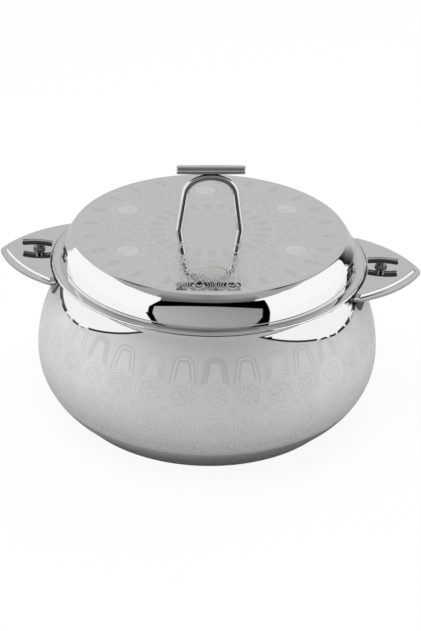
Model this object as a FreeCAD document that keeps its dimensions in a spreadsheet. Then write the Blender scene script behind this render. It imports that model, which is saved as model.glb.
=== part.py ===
import FreeCAD, Part
import math
import os
import Sketcher

doc = FreeCAD.newDocument("insulated_pot")

# Driving dimensions in millimetres, heights measured from the surface the pot stands on
dimensions = {
    # outer shell
    "shell_wall": 0.8,
    "belly_radius": 150.0,
    "belly_height": 53.0,
    "shoulder_arc": 108.0,
    "lower_arc": 58.0,
    "neck_inset": 30.5,
    "neck_rise": 6.5,
    # base cap
    "base_taper": 5.8,
    "base_rim_height": 7.0,
    "base_ring_width": 15.5,
    "base_recess": 2.0,
    "base_recess_slope": 3.0,
    "base_lap": 3.0,
    "plug_radius": 8.0,
    "plug_head": 1.8,
    "plug_length": 3.0,
    # inner bowl and rim
    "bowl_wall": 0.8,
    "neck_space": 3.9,
    "bowl_corner": 35.0,
    "bowl_floor": 18.0,
    "rim_reach": 12.0,
    # running gaps and clearances
    "weld_gap": 0.05,
    "foam_gap": 0.2,
    "seat_gap": 0.1,
    "running_gap": 0.05,
    "lid_clearance": 1.95,
    "latch_clearance": 0.4,
    # lid shell
    "lid_rise": 27.1,
    "lid_wall": 0.8,
    "disc_inset": 14.0,
    "crease_inset": 3.2,
    "lid_arc": 45.0,
    "lid_shoulder_round": 1.2,
    "bead_radius": 1.2,
    # lid liner and seal
    "liner_wall": 0.8,
    "liner_gap": 3.0,
    "liner_depth": 10.0,
    "seal_clearance": 0.3,
    "seal_height": 4.0,
    "seal_lip": 1.0,
    # hoop and grip bar on the lid
    "lid_turn_angle": 7.1,
    "hoop_foot_span": 26.3,
    "hoop_top_span": 19.3,
    "hoop_height": 48.8,
    "hoop_top_arc": 29.0,
    "hoop_corner": 14.5,
    "hoop_wire": 3.1,
    "grip_length": 58.0,
    "grip_middle": 4.0,
    "grip_end": 3.7,
    "grip_chamfer": 0.8,
    "grip_seat": 0.3,
    "screw_radius": 2.0,
    "screw_grip": 4.5,
    "screw_head_radius": 3.5,
    "screw_head": 2.4,
    "washer_radius": 4.5,
    "washer_thickness": 0.8,
    "backing_length": 66.0,
    "backing_width": 16.0,
    "backing_thickness": 1.2,
    # wing handles
    "plate_drop": 4.5,
    "plate_sheet": 1.0,
    "plateau_rise": 2.4,
    "handle_reach": 51.0,
    "handle_half_width": 58.8,
    "side_arc": 103.0,
    "plateau_side_arc": 127.0,
    "tip_round": 10.0,
    "corner_round": 5.0,
    "handle_base_gap": 2.5,
    "plateau_inset": 4.2,
    "plateau_slope": 2.3,
    "plateau_base_inset": 1.2,
    "plateau_base_slope": 2.0,
    "tongue_half_width": 20.0,
    "bracket_thickness": 2.0,
    "bracket_reach": 9.5,
    "bracket_leg": 20.0,
    "bracket_angle": 27.0,
    "rivet_radius": 2.0,
    "rivet_head": 3.4,
    "rivet_head_height": 1.0,
    "rivet_inset": 1.5,
    "rivet_spacing": 22.0,
    # turn latches
    "pivot_reach": 17.0,
    "latch_outer_arm": 15.0,
    "latch_bar_radius": 2.8,
    "latch_bar_bow": 77.0,
    "latch_bar_chamfer": 0.6,
    "latch_bar_lift": 3.8,
    "stem_radius": 3.5,
    "collar_radius": 5.4,
    "collar_height": 1.1,
    "waist_radius": 4.2,
    "bush_radius": 6.0,
    "spring_radius": 6.4,
    "spring_thickness": 1.1,
    "pivot_washer_radius": 6.8,
    "pivot_screw_radius": 2.0,
    "pivot_screw_grip": 6.0,
}

sheet = doc.addObject("Spreadsheet::Sheet", "sizes")
for row, (alias, value) in enumerate(dimensions.items(), start=1):
    sheet.set(f"A{row}", alias.replace("_", " "))
    sheet.set(f"B{row}", str(value))
    sheet.setAlias(f"B{row}", alias)
doc.recompute()


class Size:
    """A length that knows both its value and the sheet expression it comes from."""

    def __init__(self, text, value):
        self.text = text
        self.value = value

    def join(self, sign, other, value):
        return Size(f"({self.text} {sign} {as_size(other).text})", value)

    def __add__(self, other):
        return self.join("+", other, self.value + as_size(other).value)

    def __sub__(self, other):
        return self.join("-", other, self.value - as_size(other).value)

    def __mul__(self, other):
        return self.join("*", other, self.value * as_size(other).value)

    def __truediv__(self, other):
        return self.join("/", other, self.value / as_size(other).value)

    def __rsub__(self, other):
        return as_size(other) - self

    def __neg__(self):
        return Size(f"(-{self.text})", -self.value)

    __radd__ = __add__
    __rmul__ = __mul__


def as_size(number):
    return number if isinstance(number, Size) else Size(repr(float(number)), float(number))


def size(alias):
    return Size(f"sizes.{alias}", float(sheet.get(alias)))


def root(length):
    return Size(f"sqrt({length.text})", math.sqrt(length.value))


def leg(hypotenuse, side):
    """The other short side of a right triangle."""
    return root(hypotenuse * hypotenuse - side * side)


def derive(alias, length):
    """Adds a size that the sheet works out from the others, under its own name."""
    if alias not in derived:
        derived[alias] = Size(f"sizes.{alias}", length.value)
        row = len(dimensions) + len(derived) + 1
        sheet.set(f"A{row}", alias.replace("_", " "))
        sheet.set(f"B{row}", "=" + length.text.replace("sizes.", ""))
        sheet.setAlias(f"B{row}", alias)
    return derived[alias]


derived = {}
ZERO = as_size(0)

# Names used by more than one piece
shell_wall = size("shell_wall")
belly_radius = size("belly_radius")
belly_height = size("belly_height")
bowl_wall = size("bowl_wall")
weld_gap = size("weld_gap")
foam_gap = size("foam_gap")
seat_gap = size("seat_gap")
running_gap = size("running_gap")
lid_wall = size("lid_wall")
liner_wall = size("liner_wall")
bead_radius = size("bead_radius")
plate_sheet = size("plate_sheet")
base_rim_height = size("base_rim_height")

# The shoulder and the lower curve are arcs that share the level of the belly
shoulder_arc = size("shoulder_arc")
lower_arc = size("lower_arc")
shoulder_axis = belly_radius - shoulder_arc
lower_axis = belly_radius - lower_arc


def in_arc(axis_radius, arc_radius, height):
    """Radius of a body arc at a height above or below the belly."""
    return axis_radius + leg(arc_radius, height - belly_height)


def at_arc(axis_radius, arc_radius, radius):
    """Height of the shoulder arc where it has the given radius."""
    return belly_height + leg(arc_radius, radius - axis_radius)


# Neck, rim and bowl follow the belly, and the standing ring follows the lower curve
neck_radius = derive("neck_radius", belly_radius - size("neck_inset"))
neck_height = derive("neck_height", at_arc(shoulder_axis, shoulder_arc, neck_radius))
rim_radius = derive("rim_radius", neck_radius + size("rim_reach"))
rim_height = derive("rim_height", neck_height + size("neck_rise"))
rim_underside = rim_height - bowl_wall
bowl_radius = derive("bowl_radius", neck_radius - shell_wall - size("neck_space") - bowl_wall)
liner_radius = derive("liner_radius", bowl_radius - size("liner_gap"))
shell_foot = derive("shell_foot", in_arc(lower_axis, lower_arc, base_rim_height))
base_radius = derive("base_radius", shell_foot - size("base_taper"))

# The lid's flange rests on the rim, and its rolled bead hangs round the rim's edge
flange_underside = rim_height + seat_gap
flange_top = flange_underside + lid_wall
lid_top = rim_height + size("lid_rise")
lid_ceiling = lid_top - lid_wall
disc_radius = rim_radius - size("disc_inset")
crease_radius = rim_radius - size("crease_inset")
bead_axis = rim_radius + size("lid_clearance") + bead_radius
bead_height = flange_underside + lid_wall * 0.25
lid_radius = bead_axis + bead_radius

# The handle plates lie below the lid's flange
plate_underside = rim_height - size("plate_drop")
plate_top = plate_underside + plate_sheet * 2
plateau_top = plate_top + size("plateau_rise")
pivot_distance = rim_radius + size("pivot_reach")
rivet_distance = rim_radius - size("rivet_inset")


def origin_feature(body, role):
    return next(item for item in body.Origin.OriginFeatures if item.Role == role)


def new_body(label):
    body = doc.addObject("PartDesign::Body", label)
    body.Label = label
    return body


def new_sketch(body, name, plane="XZ_Plane"):
    sketch = body.newObject("Sketcher::SketchObject", f"{body.Name}_{name}")
    sketch.AttachmentSupport = (origin_feature(body, plane), "")
    sketch.MapMode = "FlatFace"
    return sketch


def bind(item, prop, length):
    item.setExpression(prop, length.text)


def constrain(sketch, kind, *where, length=None):
    if length is None:
        return sketch.addConstraint(Sketcher.Constraint(kind, *where))
    index = sketch.addConstraint(Sketcher.Constraint(kind, *where, length.value))
    sketch.setExpression(f"Constraints[{index}]", length.text)
    return index


def pin_point(sketch, geometry, end, across, up, fixed_across, fixed_up):
    """Ties one end of a curve to the sketch axes by its two coordinates."""
    if not fixed_across:
        if across.value == 0:
            constrain(sketch, "PointOnObject", geometry, end, -2)
        else:
            constrain(sketch, "DistanceX", -1, 1, geometry, end, length=across)
    if not fixed_up:
        if up.value == 0:
            constrain(sketch, "PointOnObject", geometry, end, -1)
        else:
            constrain(sketch, "DistanceY", -1, 1, geometry, end, length=up)


def arc_centre(start, end, radius, side):
    """Centre of the short arc from start to end, on the left or the right of the way."""
    dx, dy = end[0] - start[0], end[1] - start[1]
    chord = math.hypot(dx, dy)
    rise = math.sqrt(max(radius * radius - chord * chord / 4, 0.0))
    turn = 1 if side == "left" else -1
    return ((start[0] + end[0]) / 2 - turn * dy / chord * rise,
            (start[1] + end[1]) / 2 + turn * dx / chord * rise)


def draw(sketch, corners, closed=True):
    """Draws an outline. A corner is (across, up), then for a curve its side and radius."""
    corners = [tuple(as_size(v) if not isinstance(v, str) else v for v in c) for c in corners]
    count = len(corners) if closed else len(corners) - 1
    ends = []
    for number in range(count):
        here, there = corners[number], corners[(number + 1) % len(corners)]
        start = (here[0].value, here[1].value)
        end = (there[0].value, there[1].value)
        if len(here) == 2:
            line = Part.LineSegment(FreeCAD.Vector(*start, 0), FreeCAD.Vector(*end, 0))
            ends.append((sketch.addGeometry(line, False), 1, 2))
            continue
        side, radius = here[2], here[3]
        centre = arc_centre(start, end, radius.value, side)
        circle = Part.Circle(FreeCAD.Vector(*centre, 0), FreeCAD.Vector(0, 0, 1), radius.value)
        angles = [math.atan2(p[1] - centre[1], p[0] - centre[0]) for p in (start, end)]
        if side == "left":
            arc = Part.ArcOfCircle(circle, angles[0], angles[1])
            ends.append((sketch.addGeometry(arc, False), 1, 2))
        else:
            arc = Part.ArcOfCircle(circle, angles[1], angles[0])
            ends.append((sketch.addGeometry(arc, False), 2, 1))
        constrain(sketch, "Radius", ends[-1][0], length=radius)
    for number in range(count if closed else count - 1):
        geometry, _, last = ends[number]
        following, first, _ = ends[(number + 1) % count]
        constrain(sketch, "Coincident", geometry, last, following, first)
    for number, corner in enumerate(corners):
        level = upright = False
        if number > 0:
            before = corners[number - 1]
            straight = len(before) == 2
            upright = straight and before[0].text == corner[0].text
            level = straight and before[1].text == corner[1].text
            if upright:
                constrain(sketch, "Vertical", ends[number - 1][0])
            if level:
                constrain(sketch, "Horizontal", ends[number - 1][0])
        if number < count:
            geometry, point = ends[number][0], ends[number][1]
        else:
            geometry, point = ends[number - 1][0], ends[number - 1][2]
        pin_point(sketch, geometry, point, corner[0], corner[1], upright, level)


def circle_at(sketch, across, up, radius):
    across, up, radius = as_size(across), as_size(up), as_size(radius)
    centre = FreeCAD.Vector(across.value, up.value, 0)
    index = sketch.addGeometry(Part.Circle(centre, FreeCAD.Vector(0, 0, 1), radius.value), False)
    constrain(sketch, "Radius", index, length=radius)
    pin_point(sketch, index, 3, across, up, False, False)
    return index


def rectangle(sketch, left, bottom, right, top):
    draw(sketch, [(left, bottom), (right, bottom), (right, top), (left, top)])


def revolve(body, sketch, angle=360.0):
    """Turns a sketch on the XZ plane about the upright axis."""
    feature = body.newObject("PartDesign::Revolution", f"{body.Name}_turned")
    feature.Profile = sketch
    feature.ReferenceAxis = (sketch, ["V_Axis"])
    feature.Angle = angle
    feature.Midplane = angle != 360.0
    sketch.Visibility = False
    return feature


def turned(label, outline):
    """A piece of revolution about the pot's axis, from its section."""
    body = new_body(label)
    sketch = new_sketch(body, "section")
    draw(sketch, outline)
    revolve(body, sketch)
    return body


def pad(body, sketch, length, midplane=False, reversed_side=False):
    feature = body.newObject("PartDesign::Pad", f"{sketch.Name}_pad")
    feature.Profile = sketch
    bind(feature, "Length", as_size(length))
    feature.Midplane = midplane
    feature.Reversed = reversed_side
    return feature


def pocket(body, sketch, length, midplane=False, reversed_side=False):
    feature = body.newObject("PartDesign::Pocket", f"{sketch.Name}_cut")
    feature.Profile = sketch
    bind(feature, "Length", as_size(length))
    feature.Midplane = midplane
    feature.Reversed = reversed_side
    return feature


def raise_sketch(sketch, height):
    """Lifts a sketch on the XY plane to a height."""
    bind(sketch, "AttachmentOffset.Base.z", as_size(height))


def place(item, across=0, along=0, up=0, turn=0.0):
    """Puts a piece where it sits, turned about the upright axis."""
    item.Placement = FreeCAD.Placement(
        FreeCAD.Vector(as_size(across).value, as_size(along).value, as_size(up).value),
        FreeCAD.Rotation(FreeCAD.Vector(0, 0, 1), turn))
    for axis, length in (("x", across), ("y", along), ("z", up)):
        if isinstance(length, Size):
            bind(item, f"Placement.Base.{axis}", length)


def ring(label, inner, outer, bottom, height):
    """A flat washer, bush or ring about the upright axis."""
    return turned(label, [(inner, bottom), (outer, bottom),
                          (outer, bottom + height), (inner, bottom + height)])


# Outer shell: a bulging body with a necked-in shoulder and a flange that carries the rim
def make_outer_shell():
    inner_shoulder = shoulder_arc - shell_wall
    inner_lower = lower_arc - shell_wall
    foot = base_rim_height
    flange_edge = rim_radius - bowl_wall * 0.5
    return turned("outer_shell", [
        (shell_foot, foot, "left", lower_arc),
        (belly_radius, belly_height, "left", shoulder_arc),
        (neck_radius, neck_height),
        (neck_radius, rim_underside - shell_wall),
        (flange_edge, rim_underside - shell_wall),
        (flange_edge, rim_underside),
        (neck_radius - shell_wall, rim_underside),
        (neck_radius - shell_wall,
         at_arc(shoulder_axis, inner_shoulder, neck_radius - shell_wall), "right", inner_shoulder),
        (belly_radius - shell_wall, belly_height, "right", inner_lower),
        (in_arc(lower_axis, inner_lower, foot), foot),
    ])


# Inner bowl: straight wall, round corner and a flange that turns out over the neck as the rim
def make_inner_bowl():
    corner = size("bowl_corner")
    floor = size("bowl_floor")
    flat = bowl_radius - corner
    return turned("inner_bowl", [
        (ZERO, floor),
        (ZERO, floor - bowl_wall),
        (flat, floor - bowl_wall, "left", corner + bowl_wall),
        (bowl_radius + bowl_wall, floor + corner),
        (bowl_radius + bowl_wall, rim_underside),
        (rim_radius, rim_underside),
        (rim_radius, rim_height),
        (bowl_radius, rim_height),
        (bowl_radius, floor + corner, "right", corner),
        (flat, floor),
    ])


# Base cap: a pressed dish that closes the outer shell, standing on a flat ring
def make_base_cap():
    recess = size("base_recess")
    lap = size("base_lap")
    shell_inside = in_arc(lower_axis, lower_arc - shell_wall, base_rim_height)
    ring_inside = base_radius - size("base_ring_width")
    recess_edge = ring_inside - size("base_recess_slope")
    lap_radius = shell_inside - weld_gap
    hole = size("plug_radius")
    return turned("base_cap", [
        (hole, recess),
        (recess_edge, recess),
        (ring_inside, ZERO),
        (base_radius, ZERO),
        (shell_foot, base_rim_height - weld_gap),
        (lap_radius, base_rim_height - weld_gap),
        (lap_radius, base_rim_height + lap),
        (lap_radius - shell_wall, base_rim_height + lap),
        (lap_radius - shell_wall, base_rim_height - shell_wall),
        (base_radius - shell_wall, shell_wall),
        (ring_inside + shell_wall * 0.5, shell_wall),
        (recess_edge + shell_wall * 0.5, recess + shell_wall),
        (hole, recess + shell_wall),
    ])


# Plug that closes the hole through which the foam is filled in
def make_filling_plug():
    stem = size("plug_radius") - running_gap
    head = size("plug_radius") + size("plug_head")
    recess = size("base_recess")
    head_height = recess * 0.5
    return turned("filling_plug", [
        (ZERO, recess - head_height),
        (head, recess - head_height),
        (head, recess),
        (stem, recess),
        (stem, recess + size("plug_length")),
        (ZERO, recess + size("plug_length")),
    ])


# Foam that fills the double wall
def make_body_insulation():
    foam_shoulder = shoulder_arc - shell_wall - foam_gap
    foam_lower = lower_arc - shell_wall - foam_gap
    corner = size("bowl_corner")
    floor = size("bowl_floor")
    wall = bowl_radius + bowl_wall + foam_gap
    bottom = size("base_recess") + size("plug_length") + foam_gap
    lap_top = base_rim_height + size("base_lap") + foam_gap
    base_inside = base_radius - shell_wall * 2
    neck_inside = neck_radius - shell_wall - foam_gap
    return turned("body_insulation", [
        (ZERO, bottom),
        (base_inside, bottom),
        (base_inside, lap_top),
        (in_arc(lower_axis, foam_lower, lap_top), lap_top, "left", foam_lower),
        (belly_radius - shell_wall - foam_gap, belly_height, "left", foam_shoulder),
        (neck_inside, at_arc(shoulder_axis, foam_shoulder, neck_inside)),
        (neck_inside, rim_underside - foam_gap),
        (wall, rim_underside - foam_gap),
        (wall, floor + corner, "right", corner + bowl_wall + foam_gap),
        (bowl_radius - corner, floor - bowl_wall - foam_gap),
        (ZERO, floor - bowl_wall - foam_gap),
    ])


make_outer_shell()
make_inner_bowl()
make_base_cap()
make_filling_plug()
make_body_insulation()


# Lid shell: flat disc, bulging wall, narrow flange and rolled bead
def round_edges(body, radius, height, amount):
    """Rounds the circular edges of a turned piece that lie at a radius and a height."""
    doc.recompute()
    base = body.Tip
    names = []
    for index, edge in enumerate(base.Shape.Edges, start=1):
        curve = edge.Curve
        if not isinstance(curve, Part.Circle):
            continue
        if abs(curve.Radius - radius.value) < 0.01 and abs(curve.Center.z - height.value) < 0.01:
            names.append(f"Edge{index}")
    feature = body.newObject("PartDesign::Fillet", f"{body.Name}_round")
    feature.Base = (base, names)
    bind(feature, "Radius", amount)
    return feature


def make_lid_shell():
    lid_arc = size("lid_arc")
    top_reach = leg(bead_radius, flange_top - bead_height)
    under_reach = leg(bead_radius, bead_height - flange_underside)
    body = turned("lid_shell", [
        (ZERO, lid_ceiling),
        (disc_radius - lid_wall * 0.5, lid_ceiling, "right", lid_arc - lid_wall),
        (crease_radius - lid_wall, flange_top),
        (crease_radius - lid_wall, flange_underside),
        (bead_axis - under_reach, flange_underside, "left", bead_radius),
        (bead_axis + bead_radius, bead_height, "left", bead_radius),
        (bead_axis - top_reach, flange_top),
        (crease_radius, flange_top, "left", lid_arc),
        (disc_radius, lid_top),
        (ZERO, lid_top),
    ])
    round_edges(body, disc_radius, lid_top, size("lid_shoulder_round"))
    holes = new_sketch(body, "hoop_holes", "XY_Plane")
    for side in (-1, 1):
        circle_at(holes, foot_span * side, 0, size("screw_radius"))
    raise_sketch(holes, lid_top)
    pocket(body, holes, lid_wall * 3, midplane=True)
    place(body, turn=float(sheet.get("lid_turn_angle")))
    return body


# Lid liner: a shallow dish that goes down into the bowl's mouth
def make_lid_liner():
    radius = liner_radius
    bottom = flange_underside - size("liner_depth")
    edge = crease_radius - lid_wall - weld_gap
    return turned("lid_liner", [
        (ZERO, bottom),
        (radius, bottom),
        (radius, flange_underside),
        (edge, flange_underside),
        (edge, flange_underside + liner_wall),
        (radius - liner_wall, flange_underside + liner_wall),
        (radius - liner_wall, bottom + liner_wall),
        (ZERO, bottom + liner_wall),
    ])


# Silicone ring round the liner, with a lip that closes the gap to the bowl
def make_lid_seal():
    inside = liner_radius + weld_gap
    lip = bowl_radius - size("seal_clearance")
    top = flange_underside - seat_gap
    height = size("seal_height")
    lip_height = size("seal_lip")
    band = inside + (lip - inside) * 0.5
    return turned("lid_seal", [
        (inside, top - height),
        (band, top - height),
        (band, top - height * 0.5 - lip_height * 0.5),
        (lip, top - height * 0.5 - lip_height * 0.5),
        (lip, top - height * 0.5 + lip_height * 0.5),
        (band, top - height * 0.5 + lip_height * 0.5),
        (band, top),
        (inside, top),
    ])


def make_lid_insulation():
    liner_inside = liner_radius - liner_wall - foam_gap
    low = flange_underside - size("liner_depth") + liner_wall + foam_gap
    ledge = flange_underside + liner_wall + foam_gap
    foam_arc = size("lid_arc") - lid_wall
    body = turned("lid_foam_block", [
        (ZERO, low),
        (liner_inside, low),
        (liner_inside, ledge),
        (crease_radius - lid_wall - foam_gap * 3, ledge, "left", foam_arc),
        (disc_radius - lid_wall * 0.5 - foam_gap * 3, lid_ceiling - foam_gap),
        (ZERO, lid_ceiling - foam_gap),
    ])
    room = doc.addObject("Part::Box", "lid_hardware_room")
    length = size("backing_length") + foam_gap * 2
    width = size("backing_width") + foam_gap * 2
    depth = (size("backing_thickness") + size("washer_thickness") + size("screw_head")
             + foam_gap)
    bind(room, "Length", length)
    bind(room, "Width", width)
    bind(room, "Height", depth)
    turn = math.radians(float(sheet.get("lid_turn_angle")))
    half_length, half_width = length.value / 2, width.value / 2
    room.Placement = FreeCAD.Placement(
        FreeCAD.Vector(-half_length * math.cos(turn) + half_width * math.sin(turn),
                       -half_length * math.sin(turn) - half_width * math.cos(turn),
                       lid_ceiling.value - depth.value),
        FreeCAD.Rotation(FreeCAD.Vector(0, 0, 1), float(sheet.get("lid_turn_angle"))))
    foam = doc.addObject("Part::Cut", "lid_insulation")
    foam.Base = body
    foam.Tool = room
    return foam


# Hoop: one round wire whose legs lean in, bent to an arch that carries the grip bar
hoop_height = size("hoop_height")
hoop_top_arc = size("hoop_top_arc")
hoop_corner = size("hoop_corner")
hoop_wire = size("hoop_wire")
foot_span = size("hoop_foot_span")
lean = foot_span - size("hoop_top_span")
leg_length = derive("hoop_leg", root(hoop_height * hoop_height + lean * lean))
lean_cos = derive("hoop_lean_cosine", hoop_height / leg_length)
lean_sin = derive("hoop_lean_sine", lean / leg_length)
arch_centre = hoop_height - hoop_top_arc
bend_sin = derive("hoop_bend_sine", (foot_span * lean_cos - arch_centre * lean_sin - hoop_corner)
                  / (hoop_top_arc - hoop_corner))
bend_cos = derive("hoop_bend_cosine", root(1 - bend_sin * bend_sin))
arch_sin = derive("hoop_arch_sine", bend_sin * lean_cos - bend_cos * lean_sin)
arch_cos = derive("hoop_arch_cosine", bend_cos * lean_cos + bend_sin * lean_sin)


def make_hoop():
    body = new_body("lid_hoop")
    below = hoop_wire
    inner_reach = hoop_top_arc - hoop_corner
    path = new_sketch(body, "path")
    draw(path, [
        (ZERO, hoop_height, "right", hoop_top_arc),
        (hoop_top_arc * arch_sin, arch_centre + hoop_top_arc * arch_cos, "right", hoop_corner),
        (inner_reach * arch_sin + hoop_corner * lean_cos,
         arch_centre + inner_reach * arch_cos + hoop_corner * lean_sin),
        (foot_span + below * lean_sin / lean_cos, -below),
    ], closed=False)
    section = new_sketch(body, "section", "YZ_Plane")
    circle_at(section, 0, hoop_height, hoop_wire)
    pipe = body.newObject("PartDesign::AdditivePipe", "lid_hoop_half")
    pipe.Profile = section
    pipe.Spine = (path, ["Edge1", "Edge2", "Edge3"])
    pipe.Transition = "Transformed"
    mirrored = body.newObject("PartDesign::Mirrored", "lid_hoop_whole")
    mirrored.Originals = [pipe]
    mirrored.MirrorPlane = (origin_feature(body, "YZ_Plane"), [""])
    body.Tip = mirrored
    trim = new_sketch(body, "trim")
    reach = foot_span + hoop_wire * 4
    rectangle(trim, -reach, -below * 3, reach, ZERO)
    pocket(body, trim, hoop_wire * 4, midplane=True)
    holes = new_sketch(body, "holes", "XY_Plane")
    for side in (-1, 1):
        circle_at(holes, foot_span * side, 0, size("screw_radius"))
    pocket(body, holes, size("screw_grip"), reversed_side=True)
    place(body, up=lid_top, turn=float(sheet.get("lid_turn_angle")))
    return body


def make_grip_bar():
    body = new_body("lid_grip_bar")
    half = size("grip_length") * 0.5
    end = size("grip_end")
    middle = size("grip_middle")
    chamfer = size("grip_chamfer")
    shoulder = half - chamfer
    bulge = middle - end
    barrel = (shoulder * shoulder + bulge * bulge) / (bulge * 2)
    profile = new_sketch(body, "section")
    draw(profile, [
        (-half, ZERO),
        (half, ZERO),
        (half, end - chamfer),
        (shoulder, end, "left", barrel),
        (-shoulder, end),
        (-half, end - chamfer),
    ])
    bar = body.newObject("PartDesign::Revolution", "lid_grip_bar_turned")
    bar.Profile = profile
    bar.ReferenceAxis = (profile, ["H_Axis"])
    bar.Angle = 360
    seat = new_sketch(body, "seat", "YZ_Plane")
    drop = middle + hoop_wire - size("grip_seat")
    circle_at(seat, 0, -drop, hoop_wire + weld_gap)
    pocket(body, seat, root((hoop_top_arc + hoop_wire) * size("grip_seat") * 2) * 2, midplane=True)
    place(body, up=lid_top + hoop_height + drop, turn=float(sheet.get("lid_turn_angle")))
    return body


def make_backing_plate():
    body = new_body("hoop_backing_plate")
    sketch = new_sketch(body, "outline", "XY_Plane")
    half_length = size("backing_length") * 0.5
    half_width = size("backing_width") * 0.5
    rectangle(sketch, -half_length, -half_width, half_length, half_width)
    for side in (-1, 1):
        circle_at(sketch, foot_span * side, 0, size("screw_radius") + running_gap)
    pad(body, sketch, size("backing_thickness"))
    place(body, up=lid_ceiling - size("backing_thickness"), turn=float(sheet.get("lid_turn_angle")))
    return body


def paired(label, outline):
    """Two equal turned pieces, one under each foot of the hoop, kept as one group."""
    halves = []
    angle = math.radians(float(sheet.get("lid_turn_angle")))
    for side in (-1, 1):
        body = turned(f"{label}_{'left' if side < 0 else 'right'}_one", outline)
        body.Placement = FreeCAD.Placement(
            FreeCAD.Vector(side * foot_span.value * math.cos(angle),
                           side * foot_span.value * math.sin(angle), 0),
            FreeCAD.Rotation())
        halves.append(body)
    group = doc.addObject("Part::Compound", label)
    group.Links = halves
    return group


def make_hoop_fasteners():
    washer_bottom = lid_ceiling - size("backing_thickness") - size("washer_thickness")
    shank = size("screw_radius") - running_gap
    paired("hoop_washers", [
        (size("screw_radius"), washer_bottom),
        (size("washer_radius"), washer_bottom),
        (size("washer_radius"), washer_bottom + size("washer_thickness")),
        (size("screw_radius"), washer_bottom + size("washer_thickness")),
    ])
    socket = shank * 0.75
    head_bottom = washer_bottom - size("screw_head")
    head_radius = size("screw_head_radius")
    paired("hoop_screws", [
        (ZERO, head_bottom + size("screw_head") * 0.5),
        (socket, head_bottom + size("screw_head") * 0.5),
        (socket, head_bottom),
        (head_radius, head_bottom),
        (head_radius, washer_bottom),
        (shank, washer_bottom),
        (shank, lid_top + size("screw_grip") - running_gap),
        (ZERO, lid_top + size("screw_grip") - running_gap),
    ])


make_lid_shell()
make_lid_liner()
make_lid_seal()
make_lid_insulation()
make_hoop()
make_grip_bar()
make_backing_plate()
make_hoop_fasteners()


def wing_points(name, inset, base_inset, side_arc):
    """Where the arcs of a wing outline meet: the round tip, the long side, the round
    corner and the base arc about the pot's axis touch each other smoothly."""
    side_arc = derive(f"{name}_side_arc", side_arc)
    tip_round = derive(f"{name}_tip_round", size("tip_round") - inset * 0.75)
    corner = derive(f"{name}_corner_round", size("corner_round") - inset * 0.4)
    base = derive(f"{name}_base", rim_radius + size("handle_base_gap") + base_inset)
    tip_x = derive(f"{name}_tip_centre",
                   rim_radius + size("handle_reach") - inset - tip_round)
    corner_y = derive(f"{name}_corner_along", size("handle_half_width") - inset - corner)
    corner_x = derive(f"{name}_corner_across", leg(base + corner, corner_y))
    gap_x = corner_x - tip_x
    gap = derive(f"{name}_centre_gap", root(gap_x * gap_x + corner_y * corner_y))
    to_tip = side_arc - tip_round
    to_corner = side_arc - corner
    along = derive(f"{name}_foot_of_side",
                   (to_tip * to_tip - to_corner * to_corner + gap * gap) / (gap * 2))
    off = derive(f"{name}_side_offset", leg(to_tip, along))
    side_x = derive(f"{name}_side_across", tip_x + (gap_x * along - corner_y * off) / gap)
    side_y = derive(f"{name}_side_along", (corner_y * along + gap_x * off) / gap)
    stretch = side_arc / to_tip
    far = side_arc / to_corner
    inward = base / (base + corner)
    return {
        "tip": (derive(f"{name}_tip_x", side_x + (tip_x - side_x) * stretch),
                derive(f"{name}_tip_y", side_y - side_y * stretch)),
        "corner": (derive(f"{name}_corner_x", side_x + (corner_x - side_x) * far),
                   derive(f"{name}_corner_y", side_y + (corner_y - side_y) * far)),
        "base": (derive(f"{name}_base_x", corner_x * inward),
                 derive(f"{name}_base_y", corner_y * inward)),
        "arcs": (tip_round, side_arc, corner, base),
    }


def draw_wing(sketch, name, inset=ZERO, base_inset=ZERO, side_arc=size("side_arc")):
    """The wing outline in plan, drawn in by one inset round the point and another along
    the base."""
    points = wing_points(name, inset, base_inset, side_arc)
    tip_round, side_arc, corner, base = points["arcs"]
    tip, bend, foot = points["tip"], points["corner"], points["base"]
    draw(sketch, [
        (tip[0], -tip[1], "left", tip_round),
        (tip[0], tip[1], "left", side_arc),
        (bend[0], bend[1], "left", corner),
        (foot[0], foot[1], "right", base),
        (foot[0], -foot[1], "left", corner),
        (bend[0], -bend[1], "left", side_arc),
    ])


def loft(body, kind, low, high):
    feature = body.newObject(f"PartDesign::{kind}Loft", f"{low.Name}_{kind.lower()}")
    feature.Profile = low
    feature.Sections = [high]
    feature.Ruled = True
    return feature


# Handle top plate: stamped sheet with a raised field, a sloped edge and a flat border
def make_top_plate(label, side_turn):
    body = new_body(label)
    border = new_sketch(body, "border", "XY_Plane")
    draw_wing(border, "wing")
    pad(body, border, plate_sheet)
    foot = (size("plateau_inset"), size("plateau_base_inset"))
    slope = (size("plateau_slope"), size("plateau_base_slope"))
    rise = size("plateau_rise")
    layers = (("foot", 0, ZERO, plate_sheet),
              ("field", 1, ZERO, plate_sheet + rise),
              ("hollow_foot", 0, plate_sheet, ZERO),
              ("hollow_field", 1, plate_sheet * 0.5, rise))
    sketches = []
    for name, share, wall, height in layers:
        insets = [foot[i] + slope[i] * share + wall for i in (0, 1)]
        sketch = new_sketch(body, name, "XY_Plane")
        draw_wing(sketch, name, *insets, size("plateau_side_arc"))
        raise_sketch(sketch, height)
        sketches.append(sketch)
    loft(body, "Additive", sketches[0], sketches[1])
    loft(body, "Subtractive", sketches[2], sketches[3])
    hole = new_sketch(body, "pivot_hole", "XY_Plane")
    circle_at(hole, pivot_distance, 0, size("stem_radius") + running_gap)
    pocket(body, hole, plate_sheet * 4 + rise, reversed_side=True)
    place(body, up=plate_underside + plate_sheet, turn=side_turn)
    return body


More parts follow.
